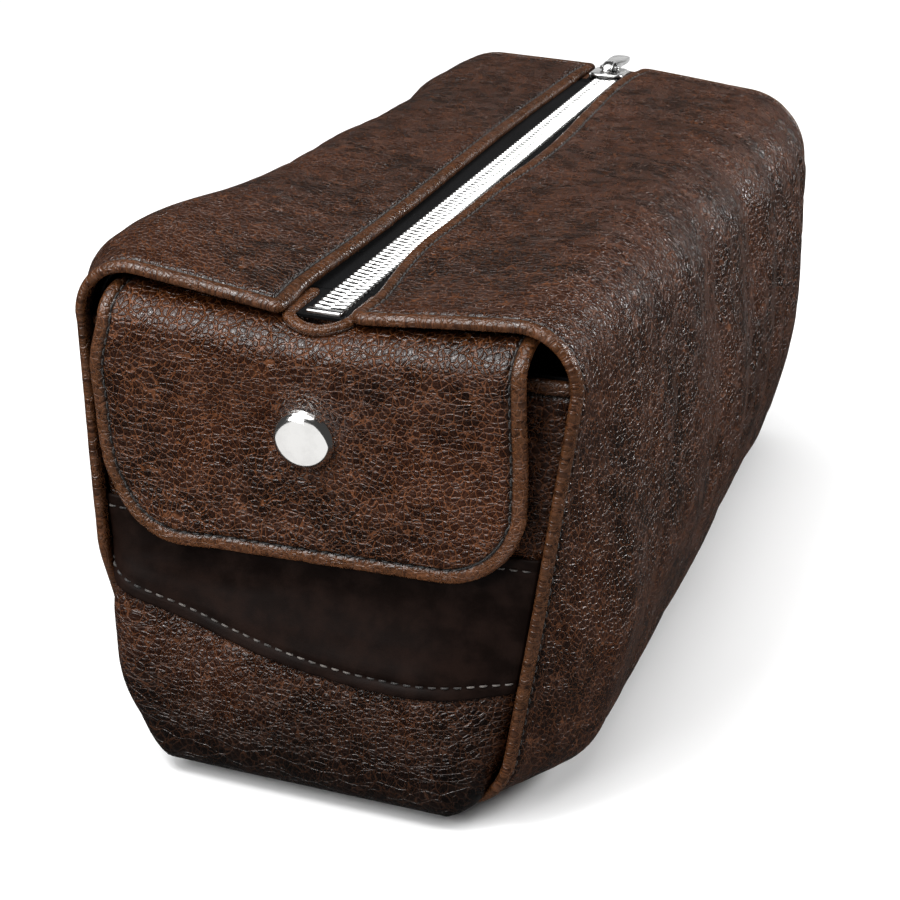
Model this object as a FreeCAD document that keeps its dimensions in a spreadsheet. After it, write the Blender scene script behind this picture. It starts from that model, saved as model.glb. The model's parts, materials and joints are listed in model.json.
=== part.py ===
import FreeCAD, Part
import os

import Sketcher
from FreeCAD import Placement, Rotation, Vector

# A leather shaving kit bag, in millimetres. +Z is up, +Y runs along the bag to its rear end,
# and the origin is on the floor at the middle of the base.
# The body is a long sewn tube of leather, open along the top between two hinge lines, where
# the two top panels fold outwards. A metal zip joins the panels. At each end a flap hangs
# from a bend below the panels and snaps to the end panel.

PARTS_FOLDER = "parts"

SIZES = (
    # the body tube; the top width is taken across the corners before they are rounded
    ("length", 270),
    ("width_top", 129.3),
    ("width_base", 104),
    ("height", 136.5),
    ("radius_top", 16),
    ("radius_base", 30),
    ("wall", 1.8),
    ("lining", 0.5),
    ("fit_gap", 0.1),
    ("lining_length", 257.6),
    # the top panels
    ("hinge_x", 48.2),
    ("hinge_gap", 0.3),
    ("panel_edge_x", 7.2),
    ("panel_drop", 4),
    ("panel_thick", 2.4),
    # the zip
    ("tape_inner_x", 4),
    ("tape_outer_x", 16),
    ("tape_z", 129.3),
    ("tape_thick", 0.7),
    ("tape_length", 225.5),
    ("end_tape_start", 131),
    ("end_tape_length", 17.9),
    ("tooth_pitch", 2.4),
    ("tooth_count", 94),
    ("end_tooth_count", 6),
    ("tooth_thick", 1),
    ("tooth_tip_x", 0.6),
    ("tooth_root_x", 3.9),
    ("tooth_bottom", 128.4),
    ("tooth_tall", 2.5),
    ("stop_y", 129),
    ("stop_length", 1.6),
    # the slider and its pull
    ("slider_y", 120.5),
    ("slider_width", 12),
    ("slider_length", 12),
    ("slider_bottom", 126.9),
    ("slider_tall", 5.6),
    ("slider_plate", 1.2),
    ("channel_width", 8.8),
    ("tape_slot", 1.3),
    ("post_width", 0.9),
    ("post_length", 4),
    ("bail_width", 2.4),
    ("bail_length", 7),
    ("bail_tall", 3.6),
    ("bail_bar", 1.2),
    ("pull_width", 7),
    ("pull_length", 18.7),
    ("pull_thick", 1.2),
    ("pull_z", 133.7),
    ("pull_window", 4),
    ("pull_window_length", 6.3),
    ("pull_end_radius", 3),
    ("pull_hole_radius", 1.4),
    # the two ends
    ("end_face", 131),
    ("end_inset", 2),
    ("end_panel_thick", 1.4),
    ("end_panel_top", 122.5),
    ("end_lining_thick", 0.6),
    ("band_thick", 1),
    ("band_bottom", 41),
    ("band_top", 77),
    # the flaps and the bends that carry them
    ("flap_face", 136.7),
    ("flap_top", 123.5),
    ("flap_bottom", 67.5),
    ("flap_width", 109),
    ("flap_x", -2.5),
    ("flap_radius", 20),
    ("flap_thick", 1.4),
    ("backing_thick", 1),
    ("yoke_width", 100),
    ("yoke_thick", 1.6),
    ("yoke_bottom", 123.8),
    ("yoke_top", 129.2),
    ("yoke_inner_end", 113.5),
    ("yoke_radius", 5),
    ("yoke_slot_width", 14),
    ("yoke_slot_end", 130.3),
    # the snaps
    ("snap_x", -2.5),
    ("snap_z", 101.5),
    ("cap_radius", 7.5),
    ("cap_tall", 2.6),
    ("cap_round", 2.4),
    ("rivet_radius", 1.5),
    ("rivet_hole", 1.6),
    ("socket_radius", 5.5),
    ("socket_bore", 2.5),
    ("socket_thick", 1.6),
    ("stud_flange", 4.5),
    ("stud_flange_thick", 0.6),
    ("stud_radius", 2),
    ("stud_tall", 2.6),
    ("post_flange_thick", 0.5),
)

doc = FreeCAD.newDocument("shaving_kit_bag")
sheet = doc.addObject("Spreadsheet::Sheet", "Sizes")
for row, (alias, number) in enumerate(SIZES, start=1):
    sheet.set(f"A{row}", alias)
    sheet.set(f"B{row}", str(number))
    sheet.setAlias(f"B{row}", alias)
doc.recompute()

sub_parts = []


# ---- small helpers -------------------------------------------------------------------------

def size(alias):
    """A driving dimension as a number, for picking edges."""
    return float(sheet.get(alias))


def new_body(label):
    """A PartDesign body that is one sub-part."""
    made = doc.addObject("PartDesign::Body", label)
    made.Label = label
    made.AllowCompound = True
    sub_parts.append(made)
    return made


def new_sketch(body, role):
    """A sketch on one of the body's own origin planes."""
    plane = next(f for f in body.Origin.OriginFeatures if f.Role == role)
    sketch = body.newObject("Sketcher::SketchObject", body.Name + "_sketch")
    sketch.AttachmentSupport = [(plane, "")]
    sketch.MapMode = "FlatFace"
    return sketch


def bind(sketch, kind, geometry, point, expression):
    """Fix one coordinate of a point, measured from the sketch's origin, by an expression."""
    number = sketch.addConstraint(Sketcher.Constraint(kind, -1, 1, geometry, point, 1.0))
    sketch.setExpression(f"Constraints[{number}]", expression)


def add_polygon(sketch, corners):
    """A closed outline of straight lines; each corner is a pair of expressions."""
    first = sketch.GeometryCount
    count = len(corners)
    for i in range(count):
        start = Vector(i, i * i, 0)
        end = Vector((i + 1) % count, ((i + 1) % count) ** 2, 0)
        sketch.addGeometry(Part.LineSegment(start, end), False)
    for i, (across, up) in enumerate(corners):
        following = first + (i + 1) % count
        sketch.addConstraint(Sketcher.Constraint("Coincident", first + i, 2, following, 1))
        bind(sketch, "DistanceX", first + i, 1, across)
        bind(sketch, "DistanceY", first + i, 1, up)


def add_rectangle(sketch, left, right, low, high):
    add_polygon(sketch, [(left, low), (right, low), (right, high), (left, high)])


def add_circle(sketch, radius, across="0", up="0"):
    number = sketch.addGeometry(Part.Circle(Vector(1, 1, 0), Vector(0, 0, 1), 1), False)
    made = sketch.addConstraint(Sketcher.Constraint("Radius", number, 1.0))
    sketch.setExpression(f"Constraints[{made}]", radius)
    bind(sketch, "DistanceX", number, 3, across)
    bind(sketch, "DistanceY", number, 3, up)


def pad(body, sketch, length, symmetric=False, reverse=False):
    feature = body.newObject("PartDesign::Pad", body.Name + "_pad")
    feature.Profile = sketch
    feature.setExpression("Length", length)
    feature.SideType = "Symmetric" if symmetric else "One side"
    feature.Reversed = reverse
    feature.Refine = False
    doc.recompute()
    return feature


def pocket(body, sketch):
    """Cut the outline right through, both ways from its plane."""
    before = body.Shape.Volume
    feature = body.newObject("PartDesign::Pocket", body.Name + "_pocket")
    feature.Profile = sketch
    feature.Type = "ThroughAll"
    feature.SideType = "Symmetric"
    doc.recompute()
    if not body.Shape.Volume < before:
        raise RuntimeError(f"{body.Label}: the pocket cuts nothing")
    return feature


def edges_along(shape, direction, spots):
    """Names of the straight edges along a direction that pass near any of the spots."""
    names = []
    for number, edge in enumerate(shape.Edges, start=1):
        if edge.Curve.TypeId != "Part::GeomLine":
            continue
        if abs(edge.tangentAt(edge.FirstParameter).dot(direction)) < 0.999:
            continue
        middle = edge.CenterOfMass
        offsets = [middle.sub(spot) for spot in spots]
        if any(off.sub(direction * off.dot(direction)).Length < 0.5 for off in offsets):
            names.append(f"Edge{number}")
    return names


def fillet(body, base, names, radius):
    feature = body.newObject("PartDesign::Fillet", body.Name + "_fillet")
    feature.Base = (base, names)
    feature.setExpression("Radius", radius)
    doc.recompute()
    return feature


def place(obj, across="0", along="0", up="0", rear=False):
    """Put a sub-part in place. Pieces are drawn for the front end or the right-hand side;
    half a turn about Z makes the rear or the left-hand one."""
    if rear:
        obj.Placement = Placement(Vector(0, 0, 0), Rotation(Vector(0, 0, 1), 180))
    turn = "-1" if rear else "1"
    obj.setExpression("Placement.Base.x", f"{turn} * ({across})")
    obj.setExpression("Placement.Base.y", f"{turn} * ({along})")
    obj.setExpression("Placement.Base.z", up)


def new_box(name, left, right, front, back, low, high):
    """A Part box between six expressions."""
    box = doc.addObject("Part::Box", name)
    box.setExpression("Length", f"({right}) - ({left})")
    box.setExpression("Width", f"({back}) - ({front})")
    box.setExpression("Height", f"({high}) - ({low})")
    box.setExpression("Placement.Base.x", left)
    box.setExpression("Placement.Base.y", front)
    box.setExpression("Placement.Base.z", low)
    return box


def cut(name, base, tool):
    made = doc.addObject("Part::Cut", name)
    made.Base = base
    made.Tool = tool
    return made


def keep(obj, label):
    """Count a Part object as a sub-part."""
    obj.Label = label
    sub_parts.append(obj)
    return obj


def side_x(up, inset):
    """Half the tube's outer width at a height, less an inset."""
    lean = "(Sizes.width_top - Sizes.width_base) / 2 / Sizes.height"
    return f"Sizes.width_base / 2 + {lean} * ({up}) - ({inset})"


# ---- the body tube and its lining ----------------------------------------------------------

def make_tube(label, inset, thick, length):
    """A tube with rounded corners, closed all round but open along the top."""
    body = new_body(label)
    sketch = new_sketch(body, "XZ_Plane")
    low = inset
    high = f"Sizes.height - ({inset})"
    low_x = side_x(low, inset)
    high_x = side_x(high, inset)
    add_polygon(sketch, [(f"-({low_x})", low), (low_x, low), (high_x, high),
                         (f"-({high_x})", high)])
    block = pad(body, sketch, length, symmetric=True)

    box = block.Shape.BoundBox
    along = Vector(0, 1, 0)
    top_names = edges_along(block.Shape, along,
                            [Vector(box.XMin, 0, box.ZMax), Vector(box.XMax, 0, box.ZMax)])
    rounded = fillet(body, block, top_names, f"Sizes.radius_top - ({inset})")
    base_names = [f"Edge{number}" for number, edge in enumerate(rounded.Shape.Edges, start=1)
                  if edge.Curve.TypeId == "Part::GeomLine"
                  and abs(edge.CenterOfMass.z - box.ZMin) < 0.01
                  and abs(edge.CenterOfMass.y) < 0.01]
    rounded = fillet(body, rounded, base_names, f"Sizes.radius_base - ({inset})")

    ends = [f"Face{number}" for number, face in enumerate(rounded.Shape.Faces, start=1)
            if abs(face.CenterOfMass.y) > 1]
    hollow = body.newObject("PartDesign::Thickness", body.Name + "_wall")
    hollow.Base = (rounded, ends)
    hollow.setExpression("Value", thick)
    hollow.Reversed = True
    doc.recompute()

    mouth = new_sketch(body, "XZ_Plane")
    add_rectangle(mouth, "-Sizes.hinge_x", "Sizes.hinge_x",
                  "Sizes.height / 2", "Sizes.height + 1")
    pocket(body, mouth)
    place(body)


# ---- the top panels ------------------------------------------------------------------------

def make_top_panel(label, left):
    """Leather between the hinge line and the zip; it sinks towards the zip."""
    body = new_body(label)
    sketch = new_sketch(body, "XZ_Plane")
    outer = "Sizes.hinge_x - Sizes.hinge_gap"
    high = "Sizes.height"
    low = "Sizes.height - Sizes.panel_drop"
    add_polygon(sketch, [("Sizes.panel_edge_x", f"{low} - Sizes.panel_thick"),
                         (outer, f"{high} - Sizes.panel_thick"),
                         (outer, high),
                         ("Sizes.panel_edge_x", low)])
    pad(body, sketch, "Sizes.length", symmetric=True)
    place(body, rear=left)


def make_top_lining(label, left):
    """Fabric under a top panel, from the zip tape's outer edge to the hinge line."""
    body = new_body(label)
    sketch = new_sketch(body, "XZ_Plane")
    inner = "Sizes.tape_outer_x + 0.2"
    outer = "Sizes.hinge_x - Sizes.hinge_gap"
    slope = "Sizes.panel_drop / (Sizes.hinge_x - Sizes.hinge_gap - Sizes.panel_edge_x)"
    under_outer = "Sizes.height - Sizes.panel_thick"
    under_inner = f"{under_outer} - {slope} * ({outer} - ({inner}))"
    add_polygon(sketch, [(inner, f"{under_inner} - Sizes.lining"),
                         (outer, f"{under_outer} - Sizes.lining"),
                         (outer, under_outer),
                         (inner, under_inner)])
    pad(body, sketch, "Sizes.lining_length", symmetric=True)
    place(body, rear=left)


# ---- the zip -------------------------------------------------------------------------------

def make_tape(label, left):
    """The woven tape that a row of teeth sits on."""
    body = new_body(label)
    sketch = new_sketch(body, "XZ_Plane")
    add_rectangle(sketch, "Sizes.tape_inner_x", "Sizes.tape_outer_x",
                  "0", "Sizes.tape_thick")
    pad(body, sketch, "Sizes.tape_length", symmetric=True)
    place(body, up="Sizes.tape_z", rear=left)


def tooth_outline(sketch, first, right_side=True):
    """One tooth in plan, from its tip near the middle to its root on the tape."""
    near, far = "Sizes.tooth_tip_x", "Sizes.tooth_root_x"
    if not right_side:
        near, far = f"-{far}", f"-{near}"
    add_rectangle(sketch, near, far, first, f"{first} + Sizes.tooth_thick")


def repeat_along_bag(body, tooth, count):
    row_axis = next(f for f in body.Origin.OriginFeatures if f.Role == "Y_Axis")
    pattern = body.newObject("PartDesign::LinearPattern", body.Name + "_row")
    pattern.Originals = [tooth]
    pattern.Direction = (row_axis, [""])
    pattern.setExpression("Length", f"({count} - 1) * Sizes.tooth_pitch")
    pattern.setExpression("Occurrences", count)
    pattern.Refine = False
    body.Tip = pattern
    doc.recompute()


ROW_START = "-Sizes.tooth_thick / 2 - Sizes.tooth_pitch / 4 - " \
            "(Sizes.tooth_count - 1) * Sizes.tooth_pitch / 2"


def make_teeth(label, left):
    """One row of metal teeth; the rows stand half a pitch apart."""
    body = new_body(label)
    sketch = new_sketch(body, "XY_Plane")
    tooth_outline(sketch, ROW_START)
    tooth = pad(body, sketch, "Sizes.tooth_tall")
    repeat_along_bag(body, tooth, "Sizes.tooth_count")
    place(body, up="Sizes.tooth_bottom", rear=left)


def make_end_teeth(label, rear):
    """The last teeth of both rows, on the fixed end of the zip."""
    body = new_body(label)
    sketch = new_sketch(body, "XY_Plane")
    right_first = f"{ROW_START} - Sizes.end_tooth_count * Sizes.tooth_pitch"
    tooth_outline(sketch, right_first)
    tooth_outline(sketch, f"{right_first} + Sizes.tooth_pitch / 2", right_side=False)
    pair = pad(body, sketch, "Sizes.tooth_tall")
    repeat_along_bag(body, pair, "Sizes.end_tooth_count")
    place(body, up="Sizes.tooth_bottom", rear=rear)


def make_end_tape(label, rear):
    """Both tapes where they are sewn to the bend at one end, joined behind the stop."""
    body = new_body(label)
    sketch = new_sketch(body, "XY_Plane")
    front, back = "0", "Sizes.end_tape_length"
    add_rectangle(sketch, "-Sizes.tape_outer_x", "Sizes.tape_outer_x", front, back)
    pad(body, sketch, "Sizes.tape_thick")
    slit = new_sketch(body, "XY_Plane")
    add_rectangle(slit, "-Sizes.tape_inner_x", "Sizes.tape_inner_x",
                  "Sizes.end_tape_start - Sizes.yoke_slot_end", f"{back} + 1")
    pocket(body, slit)
    place(body, along="-Sizes.end_tape_start", up="Sizes.tape_z", rear=rear)


def make_bottom_stop(label):
    """The stop across both rows at the front end."""
    stop = new_box(label, "-Sizes.tooth_root_x", "Sizes.tooth_root_x",
                   "-Sizes.stop_y - Sizes.stop_length / 2",
                   "-Sizes.stop_y + Sizes.stop_length / 2",
                   "Sizes.tooth_bottom", "Sizes.tooth_bottom + Sizes.tooth_tall")
    keep(stop, label)


def make_top_stops(label):
    """The pair of stops at the rear end, one on each row."""
    body = new_body(label)
    sketch = new_sketch(body, "XY_Plane")
    low = "-Sizes.stop_length / 2"
    high = "Sizes.stop_length / 2"
    add_rectangle(sketch, "Sizes.tooth_root_x / 3", "Sizes.tooth_root_x", low, high)
    add_rectangle(sketch, "-Sizes.tooth_root_x", "-Sizes.tooth_root_x / 3", low, high)
    pad(body, sketch, "Sizes.tooth_tall")
    place(body, along="Sizes.stop_y", up="Sizes.tooth_bottom")


def make_slider(label):
    """Two plates round the rows, joined by a post between them, with a bail on top.
    It is drawn about the pull's pivot line and stands at the rear, where the zip is shut."""
    half_width = "Sizes.slider_width / 2"
    half_length = "Sizes.slider_length / 2"
    low = "Sizes.slider_bottom"
    high = f"{low} + Sizes.slider_tall"
    tape_middle = "Sizes.tape_z + Sizes.tape_thick / 2"
    block = new_box("slider_block", f"-{half_width}", half_width,
                    f"-{half_length}", half_length, low, high)
    channel = new_box("slider_channel", "-Sizes.channel_width / 2", "Sizes.channel_width / 2",
                      f"-{half_length} - 1", f"{half_length} + 1",
                      f"{low} + Sizes.slider_plate", f"{high} - Sizes.slider_plate")
    slot = new_box("slider_slot", f"-{half_width} - 1", f"{half_width} + 1",
                   f"-{half_length} - 1", f"{half_length} + 1",
                   f"{tape_middle} - Sizes.tape_slot / 2",
                   f"{tape_middle} + Sizes.tape_slot / 2")
    plates = cut("slider_plates", cut("slider_shell", block, channel), slot)
    post = new_box("slider_post", "-Sizes.post_width / 2", "Sizes.post_width / 2",
                   f"{half_length} - Sizes.post_length", half_length, low, high)
    bail_low = f"{high} - Sizes.slider_plate / 2"
    bail_high = f"{high} + Sizes.bail_tall"
    bail_block = new_box("bail_block", "-Sizes.bail_width / 2", "Sizes.bail_width / 2",
                         "-Sizes.bail_length / 2", "Sizes.bail_length / 2",
                         bail_low, bail_high)
    bail_inner = "Sizes.bail_length / 2 - Sizes.bail_bar"
    bail_window = new_box("bail_window", "-Sizes.bail_width", "Sizes.bail_width",
                          f"-({bail_inner})", bail_inner,
                          high, f"{bail_high} - Sizes.bail_bar")
    slider = doc.addObject("Part::MultiFuse", label)
    slider.Shapes = [plates, post, cut("bail", bail_block, bail_window)]
    keep(slider, label)
    place(slider, along="Sizes.slider_y")


def make_pull(label):
    """A flat tab with a window for the bail and a round hole; it lies towards the rear."""
    body = new_body(label)
    sketch = new_sketch(body, "XY_Plane")
    half = "Sizes.pull_width / 2"
    bar = "Sizes.pull_thick / 2"
    add_rectangle(sketch, f"-{half}", half, f"-{bar}", f"Sizes.pull_length - {bar}")
    plate = pad(body, sketch, "Sizes.pull_thick", symmetric=True)
    tip = size("pull_length") - size("pull_thick") / 2
    corners = [Vector(x, tip, 0) for x in (-size("pull_width") / 2, size("pull_width") / 2)]
    names = edges_along(plate.Shape, Vector(0, 0, 1), corners)
    fillet(body, plate, names, "Sizes.pull_end_radius")
    holes = new_sketch(body, "XY_Plane")
    add_rectangle(holes, "-Sizes.pull_window / 2", "Sizes.pull_window / 2",
                  bar, f"{bar} + Sizes.pull_window_length")
    add_circle(holes, "Sizes.pull_hole_radius",
               up="Sizes.pull_length - Sizes.pull_width / 2 - Sizes.pull_hole_radius")
    pocket(body, holes)
    place(body, along="Sizes.slider_y", up="Sizes.pull_z")


# ---- the ends ------------------------------------------------------------------------------

def make_end_sheet(label, rear, thick, depth):
    """A sheet that fills the tube's end up to the bend, with a hole for the snap's rivet."""
    body = new_body(label)
    sketch = new_sketch(body, "XZ_Plane")
    inset = "Sizes.end_inset"
    low_x = side_x(inset, inset)
    high_x = side_x("Sizes.end_panel_top", inset)
    add_polygon(sketch, [(f"-({low_x})", inset), (low_x, inset),
                         (high_x, "Sizes.end_panel_top"),
                         (f"-({high_x})", "Sizes.end_panel_top")])
    sheet_pad = pad(body, sketch, thick, reverse=True)
    names = [f"Edge{number}" for number, edge in enumerate(sheet_pad.Shape.Edges, start=1)
             if edge.BoundBox.XLength < 0.01 and abs(edge.CenterOfMass.z - size("end_inset")) < 0.01]
    fillet(body, sheet_pad, names, f"Sizes.radius_base - {inset}")
    hole = new_sketch(body, "XZ_Plane")
    add_circle(hole, "Sizes.rivet_hole", across="Sizes.snap_x", up="Sizes.snap_z")
    pocket(body, hole)
    place(body, along=f"-Sizes.end_face + ({depth})", rear=rear)


def make_band(label, rear):
    """The smooth leather band sewn across the end panel."""
    body = new_body(label)
    sketch = new_sketch(body, "XZ_Plane")
    low_x = side_x("Sizes.band_bottom", "Sizes.end_inset")
    high_x = side_x("Sizes.band_top", "Sizes.end_inset")
    add_polygon(sketch, [(f"-({low_x})", "Sizes.band_bottom"), (low_x, "Sizes.band_bottom"),
                         (high_x, "Sizes.band_top"), (f"-({high_x})", "Sizes.band_top")])
    pad(body, sketch, "Sizes.band_thick")
    place(body, along="-Sizes.end_face", rear=rear)


def make_yoke(label, rear):
    """The leather that carries the zip's end and bends down into the flap."""
    body = new_body(label)
    sketch = new_sketch(body, "YZ_Plane")
    face = "-Sizes.flap_face"
    inner_face = "-Sizes.flap_face + Sizes.yoke_thick"
    under = "Sizes.yoke_top - Sizes.yoke_thick"
    add_polygon(sketch, [(face, "Sizes.yoke_bottom"), (inner_face, "Sizes.yoke_bottom"),
                         (inner_face, under), ("-Sizes.yoke_inner_end", under),
                         ("-Sizes.yoke_inner_end", "Sizes.yoke_top"),
                         (face, "Sizes.yoke_top")])
    sheet_pad = pad(body, sketch, "Sizes.yoke_width", symmetric=True)
    across = Vector(1, 0, 0)
    outer_corner = Vector(0, -size("flap_face"), size("yoke_top"))
    inner_corner = outer_corner + Vector(0, size("yoke_thick"), -size("yoke_thick"))
    outer_bend = fillet(body, sheet_pad, edges_along(sheet_pad.Shape, across, [outer_corner]),
                        "Sizes.yoke_radius")
    fillet(body, outer_bend, edges_along(outer_bend.Shape, across, [inner_corner]),
           "Sizes.yoke_radius - Sizes.yoke_thick")
    slot = new_sketch(body, "XY_Plane")
    add_rectangle(slot, "-Sizes.yoke_slot_width / 2", "Sizes.yoke_slot_width / 2",
                  "-Sizes.yoke_slot_end", "-Sizes.yoke_inner_end + 1")
    pocket(body, slot)
    place(body, rear=rear)


def make_flap_layer(label, rear, thick, depth):
    """One leather layer of a flap, with round lower corners and the rivet's hole."""
    body = new_body(label)
    sketch = new_sketch(body, "XZ_Plane")
    add_rectangle(sketch, "Sizes.flap_x - Sizes.flap_width / 2",
                  "Sizes.flap_x + Sizes.flap_width / 2",
                  "Sizes.flap_bottom", "Sizes.flap_top")
    layer = pad(body, sketch, thick, reverse=True)
    names = [f"Edge{number}" for number, edge in enumerate(layer.Shape.Edges, start=1)
             if edge.BoundBox.YLength > 0.1
             and abs(edge.CenterOfMass.z - size("flap_bottom")) < 0.01]
    fillet(body, layer, names, "Sizes.flap_radius")
    hole = new_sketch(body, "XZ_Plane")
    add_circle(hole, "Sizes.rivet_hole", across="Sizes.snap_x", up="Sizes.snap_z")
    pocket(body, hole)
    place(body, along=f"-Sizes.flap_face + ({depth})", rear=rear)


# ---- the snaps -----------------------------------------------------------------------------

def add_disc(body, radius, length, reverse=False):
    sketch = new_sketch(body, "XZ_Plane")
    add_circle(sketch, radius)
    return pad(body, sketch, length, reverse=reverse)


def make_cap(label, rear):
    """The domed cap on the flap, with the rivet that holds it."""
    body = new_body(label)
    disc = add_disc(body, "Sizes.cap_radius", "Sizes.cap_tall")
    rim = [f"Edge{number}" for number, edge in enumerate(disc.Shape.Edges, start=1)
           if edge.BoundBox.YLength < 0.01 and edge.CenterOfMass.y < -0.1]
    fillet(body, disc, rim, "Sizes.cap_round")
    add_disc(body, "Sizes.rivet_radius", "Sizes.flap_thick + Sizes.backing_thick",
             reverse=True)
    place(body, across="Sizes.snap_x", along="-Sizes.flap_face", up="Sizes.snap_z", rear=rear)


def make_socket(label, rear):
    """The ring behind the flap that snaps over the stud."""
    body = new_body(label)
    sketch = new_sketch(body, "XZ_Plane")
    add_circle(sketch, "Sizes.socket_radius")
    add_circle(sketch, "Sizes.socket_bore")
    pad(body, sketch, "Sizes.socket_thick", reverse=True)
    place(body, across="Sizes.snap_x",
          along="-Sizes.flap_face + Sizes.flap_thick + Sizes.backing_thick",
          up="Sizes.snap_z", rear=rear)


def make_stud(label, rear):
    """The stud on the end panel."""
    body = new_body(label)
    add_disc(body, "Sizes.stud_flange", "Sizes.stud_flange_thick")
    add_disc(body, "Sizes.stud_radius", "Sizes.stud_tall")
    place(body, across="Sizes.snap_x", along="-Sizes.end_face", up="Sizes.snap_z", rear=rear)


def make_post(label, rear):
    """The rivet that holds the stud from inside the bag."""
    body = new_body(label)
    add_disc(body, "Sizes.stud_flange", "Sizes.post_flange_thick", reverse=True)
    add_disc(body, "Sizes.rivet_radius", "Sizes.end_panel_thick + Sizes.end_lining_thick")
    place(body, across="Sizes.snap_x",
          along="-Sizes.end_face + Sizes.end_panel_thick + Sizes.end_lining_thick",
          up="Sizes.snap_z", rear=rear)


# ---- the whole bag -------------------------------------------------------------------------

def make_end(end, rear):
    """Every piece of one end of the bag."""
    make_end_sheet(f"{end}_end_panel", rear, "Sizes.end_panel_thick", "0")
    make_end_sheet(f"{end}_end_lining", rear, "Sizes.end_lining_thick",
                   "Sizes.end_panel_thick")
    make_band(f"{end}_end_band", rear)
    make_yoke(f"{end}_flap_bend", rear)
    make_flap_layer(f"{end}_flap_leather", rear, "Sizes.flap_thick", "0")
    make_flap_layer(f"{end}_flap_backing", rear, "Sizes.backing_thick", "Sizes.flap_thick")
    make_cap(f"{end}_snap_cap", rear)
    make_socket(f"{end}_snap_socket", rear)
    make_stud(f"{end}_snap_stud", rear)
    make_post(f"{end}_snap_post", rear)
    make_end_tape(f"{end}_zip_end_tape", rear)
    make_end_teeth(f"{end}_zip_end_teeth", rear)


def make_bag():
    make_tube("body_leather", "0", "Sizes.wall", "Sizes.length")
    make_tube("body_lining", "Sizes.wall + Sizes.fit_gap", "Sizes.lining",
              "Sizes.lining_length")
    for side, left in (("right", False), ("left", True)):
        make_top_panel(f"{side}_top_leather", left)
        make_top_lining(f"{side}_top_lining", left)
        make_tape(f"{side}_zip_tape", left)
        make_teeth(f"{side}_zip_teeth", left)
    for end, rear in (("front", False), ("rear", True)):
        make_end(end, rear)
    make_bottom_stop("zip_bottom_stop")
    make_top_stops("zip_top_stops")
    make_slider("zip_slider")
    make_pull("zip_pull")


def check_all():
    """Stop if any object failed, or any sub-part has no sound shape."""
    doc.recompute()
    for obj in doc.Objects:
        if {"Invalid", "Error"} & set(obj.State):
            raise RuntimeError(f"{obj.Label}: {obj.State}")
    for obj in sub_parts:
        if obj.Shape.isNull() or not obj.Shape.isValid() or not obj.Shape.Solids:
            raise RuntimeError(f"{obj.Label}: no sound solid")


def write_parts():
    os.makedirs(PARTS_FOLDER, exist_ok=True)
    for obj in sub_parts:
        obj.Shape.exportStep(os.path.join(PARTS_FOLDER, obj.Label + ".step"))


make_bag()
check_all()
write_parts()
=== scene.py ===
import json
import math

import bmesh
import bpy
import numpy as np
from mathutils import Matrix, Vector


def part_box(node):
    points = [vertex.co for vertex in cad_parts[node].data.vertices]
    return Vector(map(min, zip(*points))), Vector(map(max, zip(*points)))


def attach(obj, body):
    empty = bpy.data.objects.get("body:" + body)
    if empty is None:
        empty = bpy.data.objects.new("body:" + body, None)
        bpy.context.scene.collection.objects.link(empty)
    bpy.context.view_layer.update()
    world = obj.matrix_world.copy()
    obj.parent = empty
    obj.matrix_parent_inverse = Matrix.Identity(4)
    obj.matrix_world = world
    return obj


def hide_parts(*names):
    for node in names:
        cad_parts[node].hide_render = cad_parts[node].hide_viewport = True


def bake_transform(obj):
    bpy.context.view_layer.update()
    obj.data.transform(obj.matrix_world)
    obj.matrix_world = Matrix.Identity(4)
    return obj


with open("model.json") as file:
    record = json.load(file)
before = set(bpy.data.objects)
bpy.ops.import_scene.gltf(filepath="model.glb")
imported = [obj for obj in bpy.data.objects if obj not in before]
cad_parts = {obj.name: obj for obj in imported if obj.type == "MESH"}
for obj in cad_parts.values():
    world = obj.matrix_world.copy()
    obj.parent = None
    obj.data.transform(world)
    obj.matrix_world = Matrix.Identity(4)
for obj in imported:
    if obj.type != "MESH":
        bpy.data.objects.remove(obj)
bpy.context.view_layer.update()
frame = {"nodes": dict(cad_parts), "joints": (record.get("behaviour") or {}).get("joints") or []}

# The shaving kit bag's looks. Shapes are worked out in millimetres and become metres when a
# mesh is made. The front end is at -Y, and "rear" pieces are front ones turned half round.

MM = 0.001


# ---- the frame's measures, in millimetres ----

def box_mm(node):
    low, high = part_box(node)
    return np.array(low) / MM, np.array(high) / MM


def joint_mm(name):
    joint = next(j for j in frame["joints"] if j["name"] == name)
    return np.array(joint["pos_m"]) / MM


HALF_WIDTH, HALF_LENGTH, HEIGHT = box_mm("body_leather")[1]
EDGE_X = box_mm("right_top_leather")[0][0]
_, TAPE_HALF_LENGTH, TAPE_TOP = box_mm("right_zip_tape")[1]
FLAP_FACE = -box_mm("front_flap_leather")[0][1]
FLAP_BOTTOM = box_mm("front_flap_leather")[0][2]
FLAP_HINGE_Z = joint_mm("front_flap_lift")[2]
PANEL_FACE = -box_mm("front_end_panel")[0][1]
PANEL_TOP = box_mm("front_end_panel")[1][2]
SNAP_LOW, SNAP_HIGH = box_mm("front_snap_cap")
SNAP_X, _, SNAP_Z = (SNAP_LOW + SNAP_HIGH) / 2
SNAP_RADIUS = (SNAP_HIGH[0] - SNAP_LOW[0]) / 2
YOKE_INNER_Y = -box_mm("front_flap_bend")[1][1]
TOOTH_LOW, TOOTH_HIGH = box_mm("right_zip_teeth")
PULL_PIVOT_Y = joint_mm("pull_turn")[1]

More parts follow.
